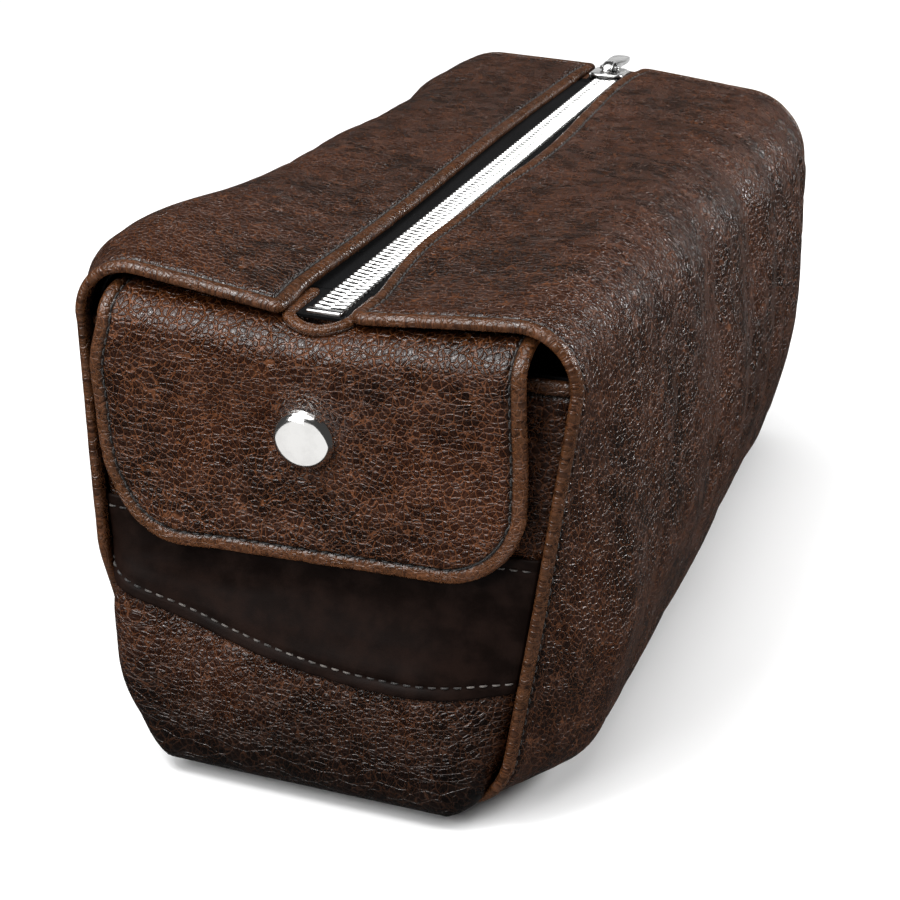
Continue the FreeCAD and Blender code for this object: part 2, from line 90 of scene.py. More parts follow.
# Leather thickness, plain and where it is folded, and the seam's distance from the edge
LEATHER = 1.7
PANEL_LEATHER = 1.5
BAND_LEATHER = 1.1
CLOTH = 0.5
FOLDED = 2.6
PANEL_FOLDED = 2.4
FLAP_FOLDED = 2.3
SEAM = 3.7
BAND_SEAM = 3.0
STITCH_PITCH = 3.1
STITCH_LONG = 2.2
STITCH_RADIUS = 0.26
NO_EDGE = 50.0          # a distance from any free edge, for a sheet without one
# Painted shade: the body's leather colour is scaled darker than the flaps'
BODY_SHADE_SCALE = 0.78
# Painted shade: the end panels' colour is scaled darker still, and darker towards the bottom
PANEL_SHADE_SCALE = 0.62
EDGE_TUCK = 8.5         # how far the tube's end edge draws back where the end panel bulges

# How the tube's section changes from the front end (share 0) to the rear (share 1)
BASE_HALF = {1: (51.0, 62.0, 62.5), -1: (60.0, 61.0, 59.5)}
BASE_RADIUS = 30.0
TOP_RADIUS_FRONT = 15.0
TOP_RADIUS_REAR = 22.0
REAR_DROP = {1: 9.0, -1: 6.0}
ZIP_EDGE_FRONT = 133.0
ZIP_EDGE_REAR = 131.2
ZIP_CORNER = {1: 4.0, -1: 2.6}


# ---- small maths ----

def smooth(low, high, x):
    """0 below low, 1 above high (or the other way about), with a smooth step between."""
    share = np.clip((np.asarray(x, float) - low) / (high - low), 0, 1)
    return share * share * (3 - 2 * share)


def hump(x, centre, width):
    return np.exp(-((np.asarray(x, float) - centre) / width) ** 2)


def mix(a, b, share):
    return a + (b - a) * share


def lattice(ix, iy, iz, seed):
    """A repeatable number from 0 to 1 at each lattice point."""
    mask = 0xFFFFFFFF
    mixed = (ix * 374761393 + iy * 668265263 + iz * 2147483647 + seed * 974634777) & mask
    mixed = ((mixed ^ (mixed >> 13)) * 1274126177) & mask
    return (mixed ^ (mixed >> 16)) / mask


def noise(x, y, z, seed):
    """Smooth noise from -1 to 1."""
    x, y, z = np.broadcast_arrays(x, y, z)
    ix, iy, iz = (np.floor(c).astype(np.int64) for c in (x, y, z))
    fx, fy, fz = ((c - i) ** 2 * (3 - 2 * (c - i)) for c, i in ((x, ix), (y, iy), (z, iz)))
    total = 0.0
    for dx in (0, 1):
        for dy in (0, 1):
            for dz in (0, 1):
                weight = (fx if dx else 1 - fx) * (fy if dy else 1 - fy) * (fz if dz else 1 - fz)
                total = total + weight * lattice(ix + dx, iy + dy, iz + dz, seed)
    return 2 * total - 1


def ridged(x, y, z, seed):
    """Noise with sharp valleys, from -1 at the bottom of a crease to 0."""
    return -(1 - np.abs(noise(x, y, z, seed))) ** 6


def edge_steps(radius):
    """Distances from a folded edge: close together round the fold and at the seam."""
    fold = [radius * (1 - math.sin(math.radians(a))) for a in (90, 68, 48, 30, 14, 0)]
    return fold + [1.9, 2.5, 3.0, 3.35, 3.65, 3.9, 4.15, 4.45, 4.8, 5.3, 6.0, 7.0, 8.3]


def graded(length, spacing, start=None, end=None):
    """Positions from 0 to length, fine at the ends that have steps and even between."""
    start = start or [0.0]
    end = end or [0.0]
    count = max(2, round((length - start[-1] - end[-1]) / spacing))
    middle = np.linspace(start[-1], length - end[-1], count + 1)
    return np.concatenate([start[:-1], middle, length - np.array(end[-2::-1])])


def corner_distance(first, second, radius):
    """Distance from the outline near a round corner between two edges."""
    inside = (first < radius) & (second < radius)
    rounded = radius - np.hypot(radius - first, radius - second)
    return np.where(inside, rounded, np.minimum(first, second))


def corner_setback(distance, radius):
    """How far a round corner sets an edge back, at a distance from the other edge."""
    reach = np.clip(radius - distance, 0, radius)
    return radius - np.sqrt(radius ** 2 - reach ** 2)


def grid_normals(points):
    """Unit normals of a grid of points."""
    normals = np.cross(np.gradient(points, axis=0), np.gradient(points, axis=1))
    return normals / np.maximum(np.linalg.norm(normals, axis=2, keepdims=True), 1e-9)


# ---- meshes ----

def new_object(name, vertices, faces, material, attributes=None, weld=None):
    """A smooth mesh object; vertices are in millimetres, attributes are one value each."""
    mesh = bpy.data.meshes.new(name)
    mesh.from_pydata((np.asarray(vertices) * MM).tolist(), [], np.asarray(faces).tolist()
                     if isinstance(faces, np.ndarray) else faces)
    for key, values in (attributes or {}).items():
        values = np.asarray(values, np.float32)
        kind = "FLOAT_VECTOR" if values.ndim == 2 else "FLOAT"
        layer = mesh.attributes.new(key, kind, "POINT")
        layer.data.foreach_set("vector" if values.ndim == 2 else "value", values.ravel())
    work = bmesh.new()
    work.from_mesh(mesh)
    if weld:
        bmesh.ops.remove_doubles(work, verts=work.verts, dist=weld * MM)
    bmesh.ops.recalc_face_normals(work, faces=work.faces)
    for face in work.faces:
        face.smooth = True
    work.to_mesh(mesh)
    work.free()
    mesh.materials.append(material)
    made = bpy.data.objects.new(name, mesh)
    bpy.context.scene.collection.objects.link(made)
    return made


def loft(rings, loop=False):
    """Vertices and faces of a skin over rings of equally many points, capped or closed in a loop."""
    rings = np.asarray(rings)
    count, around = rings.shape[:2]
    index = np.arange(count * around).reshape(count, around)
    faces = []
    for k in range(count if loop else count - 1):
        low, high = index[k], index[(k + 1) % count]
        for n in range(around):
            m = (n + 1) % around
            faces.append([low[n], low[m], high[m], high[n]])
    if not loop:
        faces += [list(index[0][::-1]), list(index[-1])]
    return rings.reshape(-1, 3), faces


def joined(parts):
    """Several vertex and face lists as one."""
    vertices, faces, offset = [], [], 0
    for some, own in parts:
        vertices.append(np.asarray(some))
        faces += [[int(v) + offset for v in face] for face in own]
        offset += len(some)
    return np.concatenate(vertices), faces


def grid_faces(rows, cols, offset=0, flip=False):
    """Quads over a grid of vertices numbered along its rows."""
    first = np.arange(rows * cols).reshape(rows, cols) + offset
    quads = np.stack([first[:-1, :-1], first[1:, :-1], first[1:, 1:], first[:-1, 1:]], axis=-1)
    quads = quads.reshape(-1, 4)
    return quads[:, ::-1] if flip else quads


def rim_faces(rows, cols):
    """Quads that close the four sides between an outer and an inner grid."""
    index = np.arange(rows * cols).reshape(rows, cols)
    under = index + rows * cols
    sides = [(index[0], under[0]), (index[-1], under[-1]),
             (index[:, 0], under[:, 0]), (index[:, -1], under[:, -1])]
    return np.concatenate([np.stack([a[:-1], a[1:], b[1:], b[:-1]], axis=-1)
                           for a, b in sides])


class Sheet:
    """A sheet of leather or cloth over a grid: points on its outer face, the distance of each
    from the free edge, its thickness, and a height to add. A free edge is rounded over."""

    def __init__(self, points, distance, thick, folded=None, height=0.0, outward=1.0):
        folded = thick if folded is None else folded
        self.normals = grid_normals(points) * outward
        radius = folded / 2
        depth = mix(folded, thick, smooth(SEAM + 1, SEAM + 4, distance))
        reach = np.clip(radius - distance, 0, radius)
        drop = radius - np.sqrt(radius ** 2 - reach ** 2)
        lift = np.where(distance < 0.4, np.minimum(height, 0.4), height) * smooth(0, 0.6, distance)
        self.distance = distance
        self.outer = points + self.normals * (lift - drop)[..., None]
        self.inner = points - self.normals * (depth - drop)[..., None]

    def build(self, name, material, skin, attributes=None):
        rows, cols = self.distance.shape
        vertices = np.concatenate([self.outer.reshape(-1, 3), self.inner.reshape(-1, 3)])
        faces = np.concatenate([grid_faces(rows, cols),
                                grid_faces(rows, cols, rows * cols, flip=True),
                                rim_faces(rows, cols)])
        wear = smooth(SEAM + 0.5, SEAM - 0.7, self.distance)
        # The groove mask paints shade into the sunk seam line
        groove = hump(self.distance, SEAM, 0.45)
        # The last entry is a painted shade factor that scales the colour down; 1 paints no shade
        given = {"skin": skin, "wear": wear, "groove": groove, "painted_shade_scale": np.ones_like(wear)}
        given.update(attributes or {})
        layers = {}
        for key, values in given.items():
            values = np.broadcast_to(values, self.distance.shape + values.shape[2:])
            flat = values.reshape(rows * cols, -1)
            both = np.concatenate([flat, flat])
            layers[key] = both if both.shape[1] == 3 else both[:, 0]
        return new_object(name, vertices, faces, material, layers, weld=0.004)


def seam_height(distance):
    """A folded, stitched edge: a round bead, the sunk seam, and a soft swell behind it."""
    bead = 0.25 * hump(distance, 1.9, 1.2)
    groove = 0.6 * hump(distance, SEAM, 0.5)
    swell = 0.22 * hump(distance, SEAM + 2.2, 1.5)
    return bead - groove + swell


def skin_of(a, b, piece):
    """Flat leather coordinates in millimetres; each piece is cut from its own place."""
    a, b = np.broadcast_arrays(a, b)
    return np.stack([a + 317.0 * piece, b + 143.0 * piece, np.full(a.shape, 7.0 * piece)], axis=-1)


def turned(points):
    """Half a turn about Z: a front piece becomes a rear one."""
    return points * np.array([-1.0, -1.0, 1.0])


def side_name(side):
    return "right" if side > 0 else "left"


def end_name(rear):
    return "rear" if rear else "front"


# ---- stitches ----

def line_at(sheet, side, distance):
    """Points and normals on a sheet's outer face along a line at a distance from one side."""
    outer, normals, away = sheet.outer, sheet.normals, sheet.distance
    if side in ("first_col", "last_col"):
        outer, normals = np.swapaxes(outer, 0, 1), np.swapaxes(normals, 0, 1)
        away = away.T
    if side in ("last_row", "last_col"):
        outer, normals, away = outer[::-1], normals[::-1], away[::-1]
    reach = int(np.argmax(away.min(axis=1) > 20)) or len(away) // 2
    points, ups = [], []
    for k in range(away.shape[1]):
        column = np.maximum.accumulate(away[:reach, k])
        if column[-1] < distance + 0.3 or column[0] > 0.5:
            continue
        where = np.interp(distance, column, np.arange(reach))
        low = int(where)
        share = where - low
        points.append(mix(outer[low, k], outer[min(low + 1, reach - 1), k], share))
        ups.append(mix(normals[low, k], normals[min(low + 1, reach - 1), k], share))
    return np.array(points), np.array(ups)


def resample(points, ups, pitch):
    """Evenly spaced places along a line, with their normals and directions."""
    steps = np.linalg.norm(np.diff(points, axis=0), axis=1)
    along = np.concatenate([[0], np.cumsum(steps)])
    places = np.arange(pitch / 2, along[-1] - pitch / 2, pitch)
    def at(where):
        return np.stack([np.interp(where, along, points[:, k]) for k in range(3)], axis=1)
    centre = at(places)
    direction = at(places + 0.6) - at(places - 0.6)
    direction /= np.maximum(np.linalg.norm(direction, axis=1, keepdims=True), 1e-9)
    up = np.stack([np.interp(places, along, ups[:, k]) for k in range(3)], axis=1)
    up -= direction * np.sum(up * direction, axis=1, keepdims=True)
    up /= np.maximum(np.linalg.norm(up, axis=1, keepdims=True), 1e-9)
    return centre, direction, up


STITCH_SIDES = 6
STITCH_LIFT = 0.12
# Share of the length, lift and relative thickness
STITCH_STATIONS = ((-0.5, -0.42, 0.45), (-0.36, -0.02, 0.85), (-0.12, 0.14, 1.0),
                   (0.12, 0.14, 1.0), (0.36, -0.02, 0.85), (0.5, -0.42, 0.45))


def stitches(name, lines, material):
    """Short bowed stitches, each dipping into the leather at both ends."""
    turns = [2 * math.pi * k / STITCH_SIDES for k in range(STITCH_SIDES)]
    parts = []
    for points, ups in lines:
        centre, direction, up = resample(points, ups, STITCH_PITCH)
        for c, d, u, a in zip(centre, direction, up, np.cross(direction, up)):
            parts.append(loft([[c + d * share * STITCH_LONG + u * (lift + STITCH_LIFT)
                                + (a * math.cos(t) + u * math.sin(t)) * STITCH_RADIUS * size
                                for t in turns] for share, lift, size in STITCH_STATIONS]))
    made = new_object(name, *joined(parts), material)
    return made


# ---- materials ----

class Shade:
    """A material being wired up; each call adds one node and returns its output."""

    def __init__(self, name):
        self.material = bpy.data.materials.new(name)
        self.material.use_nodes = True
        self.tree = self.material.node_tree
        self.shader = self.tree.nodes["Principled BSDF"]

    def node(self, kind, settings=None, inputs=None, output=0):
        made = self.tree.nodes.new(kind)
        for key, value in (settings or {}).items():
            setattr(made, key, value)
        for key, value in (inputs or {}).items():
            self.feed(made.inputs[key], value)
        return made.outputs[output]

    def feed(self, socket, value):
        if isinstance(value, bpy.types.NodeSocket):
            self.tree.links.new(value, socket)
        else:
            socket.default_value = value

    def set(self, **inputs):
        names = {"color": "Base Color", "roughness": "Roughness", "normal": "Normal",
                 "metallic": "Metallic", "specular": "Specular IOR Level", "sheen": "Sheen Weight"}
        for key, value in inputs.items():
            self.feed(self.shader.inputs[names[key]], value)

    def attribute(self, name, output="Fac"):
        made = self.tree.nodes.new("ShaderNodeAttribute")
        made.attribute_name = name
        return made.outputs[output]

    def math(self, operation, a, b):
        return self.node("ShaderNodeMath", {"operation": operation}, {0: a, 1: b})

    def times(self, a, b):
        return self.math("MULTIPLY", a, b)

    def ramp(self, value, low, high, to_low=0.0, to_high=1.0):
        return self.node("ShaderNodeMapRange", {"interpolation_type": "SMOOTHSTEP"},
                         {"Value": value, "From Min": low, "From Max": high,
                          "To Min": to_low, "To Max": to_high})

    def blend(self, share, a, b):
        made = self.tree.nodes.new("ShaderNodeMix")
        made.data_type = "RGBA"
        self.feed(made.inputs[0], share)
        self.feed(made.inputs[6], a if isinstance(a, bpy.types.NodeSocket) else (*a, 1))
        self.feed(made.inputs[7], b if isinstance(b, bpy.types.NodeSocket) else (*b, 1))
        return made.outputs[2]

    def noise(self, vector, scale, detail=3.0, roughness=0.55, output=0):
        return self.node("ShaderNodeTexNoise", {"noise_dimensions": "3D"},
                         {"Vector": vector, "Scale": scale, "Detail": detail,
                          "Roughness": roughness}, output)

    def cracks(self, vector, scale):
        """Distance to the edge between cells."""
        return self.node("ShaderNodeTexVoronoi",
                         {"feature": "DISTANCE_TO_EDGE", "voronoi_dimensions": "3D"},
                         {"Vector": vector, "Scale": scale})

    def warp(self, vector, scale, amount):
        """The vector pushed about by noise."""
        push = self.noise(vector, scale, 2.0, output=1)
        centred = self.node("ShaderNodeVectorMath", {"operation": "SUBTRACT"},
                            {0: push, 1: (0.5, 0.5, 0.5)})
        scaled = self.node("ShaderNodeVectorMath", {"operation": "SCALE"},
                           {0: centred, "Scale": amount})
        return self.node("ShaderNodeVectorMath", {"operation": "ADD"}, {0: vector, 1: scaled})

    def stretch(self, vector, scale, turn=0.0):
        return self.node("ShaderNodeMapping", {"vector_type": "POINT"},
                         {"Vector": vector, "Scale": scale, "Rotation": (0, 0, turn)})

    def bump(self, height, strength, distance):
        return self.node("ShaderNodeBump", {},
                         {"Height": height, "Strength": strength, "Distance": distance})


CELL_DARK = (0.0040, 0.0011, 0.0004)
CELL_BROWN = (0.024, 0.0056, 0.0014)
CREASE_TAN = (0.172, 0.056, 0.0155)
EDGE_TAN = (0.105, 0.041, 0.0150)
# Near-black painted shade for the sunk stitch groove
SEAM_GROOVE_SHADE = (0.006, 0.004, 0.003)


def pebbled_leather():
    """Dark brown pull-up leather: small dark cells, lighter creases, tan worn edges, painted shade in the
    stitch grooves and a per-vertex painted shade factor.
    """
    s = Shade("pebbled_leather")
    skin = s.attribute("skin", "Vector")
    wear = s.attribute("wear")
    groove = s.attribute("groove")
    warped = s.warp(skin, 0.22, 1.6)
    fine = s.warp(warped, 0.9, 0.45)
    cells = s.cracks(fine, 0.60)
    grains = s.cracks(fine, 1.20)
    longer = s.cracks(s.stretch(s.warp(skin, 0.07, 9.0), (0.10, 0.36, 0.2), 0.5), 1.0)
    pores = s.noise(skin, 3.2, 2.0)
    patches = s.noise(skin, 0.035, 4.0, 0.6)
    mottle = s.noise(skin, 0.14, 3.0, 0.5)

    line_cells = s.ramp(cells, 0.0, 0.085, 1.0, 0.0)
    line_grains = s.ramp(grains, 0.0, 0.12, 1.0, 0.0)
    line_longer = s.ramp(longer, 0.0, 0.030, 1.0, 0.0)
    strength = s.times(s.ramp(mottle, 0.30, 0.64, 0.58, 1.0), s.ramp(patches, 0.36, 0.60, 0.66, 1.0))
    lines = s.times(line_cells, strength)
    lines = s.math("MAXIMUM", lines, s.times(line_grains, s.times(strength, 0.22)))
    lines = s.math("MAXIMUM", lines, s.times(line_longer, 0.75))

    base = s.blend(s.ramp(patches, 0.36, 0.66), CELL_DARK, CELL_BROWN)
    base = s.blend(s.times(s.ramp(mottle, 0.42, 0.64), 0.45), base, CELL_BROWN)
    colour = s.blend(s.times(lines, 0.85), base, CREASE_TAN)
    worn = s.times(wear, s.ramp(s.noise(skin, 0.9, 4.0), 0.34, 0.64, 0.15, 0.68))
    colour = s.blend(worn, colour, EDGE_TAN)
    # Painted shade darkens the sunk stitch groove
    colour = s.blend(groove, colour, SEAM_GROOVE_SHADE)
    # Painted shade: the colour is scaled down by the per-vertex shade factor
    colour = s.node("ShaderNodeVectorMath", {"operation": "SCALE"},
                    {0: colour, "Scale": s.attribute("painted_shade_scale")})

    height = s.times(s.ramp(cells, 0.0, 0.15), s.math("ADD", 0.35, s.times(strength, 0.65)))
    height = s.math("ADD", height, s.times(s.ramp(cells, 0.08, 0.40), 0.35))
    height = s.math("ADD", height, s.times(s.ramp(grains, 0.0, 0.16), 0.22))
    height = s.math("SUBTRACT", height, s.times(line_longer, 1.1))
    height = s.times(height, s.math("SUBTRACT", 1.0, s.times(wear, 0.45)))
    height = s.math("ADD", height, s.times(pores, 0.05))
    rough = s.math("ADD", s.ramp(mottle, 0.3, 0.7, 0.21, 0.33), s.times(lines, 0.10))
    s.set(color=colour, roughness=rough, normal=s.bump(height, 1.0, 0.00022), specular=0.50)
    return s.material


def smooth_leather(name, colour, light):
    """Smooth matte dark leather with a faint grain."""
    s = Shade(name)
    skin = s.attribute("skin", "Vector")
    mottle = s.noise(skin, 0.12, 4.0, 0.6)
    pores = s.noise(skin, 2.6, 3.0, 0.6)
    shade = s.blend(s.ramp(mottle, 0.34, 0.68), colour, light)
    s.set(color=shade, roughness=s.ramp(mottle, 0.3, 0.7, 0.50, 0.62),
          normal=s.bump(pores, 0.35, 0.0001), specular=0.08)
    return s.material


def woven(name, colour, light, threads):
    """Black cloth or tape: a fine over-and-under weave."""
    s = Shade(name)
    place = s.node("ShaderNodeTexCoord", output=3)
    across, along = (s.node("ShaderNodeTexWave", {"bands_direction": way},
                            {"Vector": place, "Scale": threads, "Distortion": 1.5, "Detail": 1.0})
                     for way in ("X", "Y"))
    weave = s.times(across, along)
    dust = s.noise(place, 60.0, 3.0)
    shade = s.blend(s.times(weave, s.ramp(dust, 0.3, 0.7)), colour, light)
    s.set(color=shade, roughness=s.ramp(dust, 0.3, 0.7, 0.72, 0.9),
          normal=s.bump(weave, 0.6, 0.00015), specular=0.12)
    return s.material


def metal(name, colour, rough_low, rough_high, scratch):
    """Bright metal, a little tarnished and scratched."""
    s = Shade(name)
    place = s.node("ShaderNodeTexCoord", output=3)
    smudge = s.noise(place, 220.0, 4.0, 0.6)
    marks = s.noise(s.stretch(place, (900.0, 4000.0, 900.0), 0.3), 1.0, 2.0)
    dull = tuple(0.72 * c for c in colour)
    tarnish = s.blend(s.ramp(smudge, 0.35, 0.75, 0.0, 0.35), colour, dull)
    s.set(color=tarnish, metallic=1.0, roughness=s.ramp(smudge, 0.3, 0.7, rough_low, rough_high),
          normal=s.bump(marks, scratch, 0.00003))
    return s.material


def thread(name, dark, light):
    """Twisted sewing thread."""
    s = Shade(name)
    place = s.node("ShaderNodeTexCoord", output=3)
    twist = s.node("ShaderNodeTexWave", {"bands_direction": "DIAGONAL"},
                   {"Vector": place, "Scale": 1400.0, "Distortion": 0.5})
    patch = s.noise(place, 90.0, 2.0)
    shade = s.blend(s.ramp(patch, 0.42, 0.70), dark, light)
    s.set(color=shade, roughness=0.5, normal=s.bump(twist, 0.5, 0.00006), sheen=0.2)
    return s.material


PEBBLED = pebbled_leather()
SMOOTH = smooth_leather("smooth_leather", (0.0044, 0.0018, 0.0011), (0.0095, 0.0040, 0.0025))
BACKING = smooth_leather("backing_leather", (0.030, 0.014, 0.008), (0.060, 0.030, 0.018))
LINING = woven("lining_fabric", (0.006, 0.006, 0.007), (0.022, 0.022, 0.024), 900.0)
TAPE = woven("zip_tape_weave", (0.0016, 0.0016, 0.0019), (0.006, 0.006, 0.007), 1300.0)
ZIP_METAL = metal("zip_metal", (0.46, 0.46, 0.455), 0.16, 0.28, 0.10)
NICKEL = metal("snap_nickel", (0.92, 0.91, 0.89), 0.07, 0.14, 0.0)
THREAD = thread("seam_thread", (0.003, 0.0022, 0.0018), (0.016, 0.012, 0.010))
PALE_THREAD = thread("band_thread", (0.012, 0.010, 0.009), (0.16, 0.14, 0.125))


# ---- the tube's section ----

def section(t, edge_x, side):
    """The outer section from the middle of the base to the zip edge, on the right-hand side.
    t is the share of the length and edge_x the zip edge, both one value per station.
    Returns x, z and the length from the base, each with a row per place along the section."""
    at_edge, behind, rear = BASE_HALF[side]
    base_half = mix(mix(at_edge, behind, smooth(0, 0.14, t)), rear, smooth(0.1, 0.9, t))
    height = HEIGHT - REAR_DROP[side] * smooth(0.1, 1.0, t)
    puff = hump(t, 0.12, 0.13)
    if side > 0:
        top_half = HALF_WIDTH + 0.6 * puff + 3.5 * smooth(0.3, 1, t)
    else:
        top_half = HALF_WIDTH - 0.9 + (0.9 + 5.6 * puff) * smooth(0, 0.07, t)
        top_half = top_half + 0.4 + 2.4 * hump(t, 0.92, 0.14)
        height = height + 3.6 * puff + 2.0 * hump(t, 0.94, 0.14)
    top_radius = mix(TOP_RADIUS_FRONT, TOP_RADIUS_REAR, t)
    base_radius = BASE_RADIUS - (3.0 + 6.0 * smooth(0, 0.12, t) if side > 0 else -3.0 + 3.0 * t)
    edge_z = mix(ZIP_EDGE_FRONT, ZIP_EDGE_REAR, t)
    low_x, low_z = base_half - base_radius, base_radius
    high_x, high_z = top_half - top_radius, height - top_radius
    rise = np.arctan2(high_z - low_z, high_x - low_x)
    apart = np.hypot(high_x - low_x, high_z - low_z)
    side_turn = rise - np.arccos((base_radius - top_radius) / apart)
    reach = np.hypot(edge_x - high_x, edge_z - high_z)
    top_turn = np.arctan2(edge_z - high_z, edge_x - high_x) - np.arccos(top_radius / reach)

    rows_x, rows_z = [], []

    def arc(cx, cz, radius, start, end, count):
        for share in np.arange(count) / count:
            turn = mix(start, end, share)
            rows_x.append(cx + radius * np.cos(turn))
            rows_z.append(cz + radius * np.sin(turn))

    def line(x0, z0, x1, z1, shares):
        for share in shares:
            rows_x.append(mix(x0, x1, share))
            rows_z.append(mix(z0, z1, share))

    line(0.0 * t, 0.0 * t, low_x, 0.0 * t, np.arange(9) / 9)
    arc(low_x, low_z, base_radius, -math.pi / 2 + 0 * t, side_turn, 20)
    line(low_x + base_radius * np.cos(side_turn), low_z + base_radius * np.sin(side_turn),
         high_x + top_radius * np.cos(side_turn), high_z + top_radius * np.sin(side_turn),
         np.arange(52) / 52)
    arc(high_x, high_z, top_radius, side_turn, top_turn, 20)
    start_x = high_x + top_radius * np.cos(top_turn)
    start_z = high_z + top_radius * np.sin(top_turn)
    nominal = float(np.mean(np.hypot(start_x - edge_x, start_z - edge_z)))
    shares = graded(nominal, 1.6, end=edge_steps(FOLDED / 2)) / nominal
    line(start_x, start_z, edge_x, edge_z, shares)
    x, z = np.array(rows_x), np.array(rows_z)
    steps = np.hypot(np.diff(x, axis=0), np.diff(z, axis=0))
    along = np.concatenate([np.zeros((1, x.shape[1])), np.cumsum(steps, axis=0)])
    return x, z, along


def zip_edge(y, side):
    """Where the leather's zip edge runs: the right one waves, the left one stands back."""
    if side > 0:
        wave = 1.5 * np.sin(y / 27.0 + 1.2) + 0.7 * np.sin(y / 11.5) * smooth(60, -90, y)
        return EDGE_X + 0.6 + wave * smooth(-134, -118, y)
    wave = 0.8 * np.sin(y / 38.0 + 0.4)
    return EDGE_X + 1.8 + wave - 1.2 * smooth(-118, -134, y)


def end_edge(z, side):
    """How far the tube's end edge stands out: a little more above the notch, and less low down,
    where the end panel bulges over it. Side is 1 on the right as that end is looked at."""
    free = smooth(PANEL_TOP - 0.8, PANEL_TOP + 0.8, z)
    tucked = 0.6 * smooth(16, 3, z) if side > 0 else smooth(64, 36, z)
    return HALF_LENGTH + 0.2 + 0.4 * free - EDGE_TUCK * tucked


FOLDS_RIGHT = ((-96, 9, 0.7, 0.10), (-66, 5, -1.0, 0.16), (-40, 10, 1.0, 0.08), (-14, 5, -1.2, 0.10),
               (10, 9, 1.3, 0.05), (34, 5, -1.6, 0.02), (52, 8, 1.3, 0.0), (72, 4, -1.5, -0.04),
               (92, 8, 1.4, -0.06), (110, 4, -1.3, -0.08), (124, 7, 0.8, -0.1))
FOLDS_LEFT = ((-104, 8, 0.6, -0.1), (-78, 6, -1.1, 0.1), (-52, 9, 1.0, 0.05), (-22, 5, -1.2, -0.05),
              (4, 9, 1.2, 0.06), (30, 5, -1.0, 0.12), (58, 10, 1.2, 0.02), (84, 5, -1.3, -0.06),
              (106, 8, 1.0, -0.1))


def wrinkles(x, y, z, along, side):
    """How far the soft leather swells or creases, along its normal."""
    folds = FOLDS_RIGHT if side > 0 else FOLDS_LEFT
    wall = smooth(14, 50, z) * smooth(HEIGHT + 2, HEIGHT - 20, z)
    total = 0.0
    for place, width, depth, lean in folds:
        middle = place + lean * (z - 70) + 3.0 * noise(z / 30, place, 0, 5)
        total = total + depth * hump(y, middle, width) * wall
    seed = 11 if side > 0 else 12
    total = total + 1.5 * noise(along / 55, y / 60, 0.3, seed) * smooth(6, 30, z)
    total = total + 0.5 * noise(along / 22, y / 19, 1.3, seed + 2)
    total = total + 0.55 * ridged(along / 46, y / 9.5, 2.2, seed + 4) * wall
    total = total + 0.30 * ridged(along / 12, y / 17, 4.1, seed + 6)
    return total


def side_swell(y, z, side):
    """How far the full bag pushes its sides out, between the stiffer ends."""
    front, rear = HALF_LENGTH + y, HALF_LENGTH - y
    near = np.minimum(smooth(1, 16, front), smooth(1, 16, rear))
    far = np.minimum(smooth(0, 90, front), smooth(-6, 30, rear))
    low = hump(z, 44, 34)
    middle = hump(z, 68, 40)
    if side > 0:
        return 4.6 * near * low + 7.6 * far * hump(z, 80, 46)
    return 3.6 * near * middle + 2.6 * far * middle


def leather_half(side):
    """Half of the body: base, side, top corner and top panel in one continuous sheet."""
    fold = edge_steps(FOLDED / 2)
    span = 2 * HALF_LENGTH
    columns = graded(span, 1.9, start=fold, end=fold)
    station = columns - HALF_LENGTH
    t = columns / span
    x, z, along = section(t, zip_edge(station, side), side)
    to_zip = along[-1:] - along
    corner = ZIP_CORNER[side]
    front = end_edge(z[:, :1], side)
    rear = end_edge(z[:, -1:], -side)
    setback = corner_setback(to_zip, corner)
    start = -front + setback[:, :1]
    end = rear - setback[:, -1:]
    y = start + (end - start) * t[None, :]
    distance = np.minimum(corner_distance(y + front, to_zip, corner),
                          corner_distance(rear - y, to_zip, corner))
    distance = np.maximum(distance, 0)
    distance[:, [0, -1]] = 0
    distance[-1, :] = 0
    away = smooth(2, 16, distance)
    bulge = wrinkles(x, y, z, along, side) * mix(0.25, 1.0, away)
    swell = side_swell(y, z, side)
    points = np.stack([side * x, y, z], axis=2)
    normals = grid_normals(points) * -side
    on_floor = smooth(1.0, 10.0, z)[..., None]
    points = points + normals * (bulge + swell)[..., None] * on_floor
    points[..., 2] = np.maximum(points[..., 2], 0.02)
    sheet = Sheet(points, distance, LEATHER, FOLDED, seam_height(distance), outward=-side)
    name = side_name(side)
    # The body's colour is scaled down as painted shade
    made = sheet.build(f"{name}_leather", PEBBLED, skin_of(along, y, 1 if side > 0 else 2),
                       {"painted_shade_scale": np.full(y.shape, BODY_SHADE_SCALE)})
    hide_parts(f"{name}_top_leather", "body_leather")
    return sheet, made


def bend_top(piece):
    """Bakes the piece's placement into its mesh."""
    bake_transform(piece)


def make_body():
    for side in (1, -1):
        sheet, made = leather_half(side)
        bend_top(made)
        lines = [line_at(sheet, edge, SEAM) for edge in ("first_col", "last_col", "last_row")]
        bend_top(stitches(f"{side_name(side)}_leather_stitches", lines, THREAD))
        make_lining(side)


def make_lining(side):
    """The cloth lining: one sheet a little inside the leather."""
    columns = np.linspace(-HALF_LENGTH + 7, HALF_LENGTH - 7, 60)
    t = (columns + HALF_LENGTH) / (2 * HALF_LENGTH)
    x, z, along = section(t, zip_edge(columns, side) + 6.0, side)
    y = np.broadcast_to(columns, x.shape)
    points = np.stack([side * x, y, z], axis=2)
    normals = grid_normals(points) * -side
    crease = 0.5 * noise(along / 18, y / 14, 0, 31)
    points = points - normals * (LEATHER + 2.6 + crease)[..., None]
    sheet = Sheet(points, np.full(x.shape, NO_EDGE), CLOTH, outward=-side)
    made = sheet.build(f"{side_name(side)}_lining", LINING, skin_of(along, y, 3))
    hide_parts(f"{side_name(side)}_top_lining", "body_lining")
    bend_top(made)


# ---- the ends ----

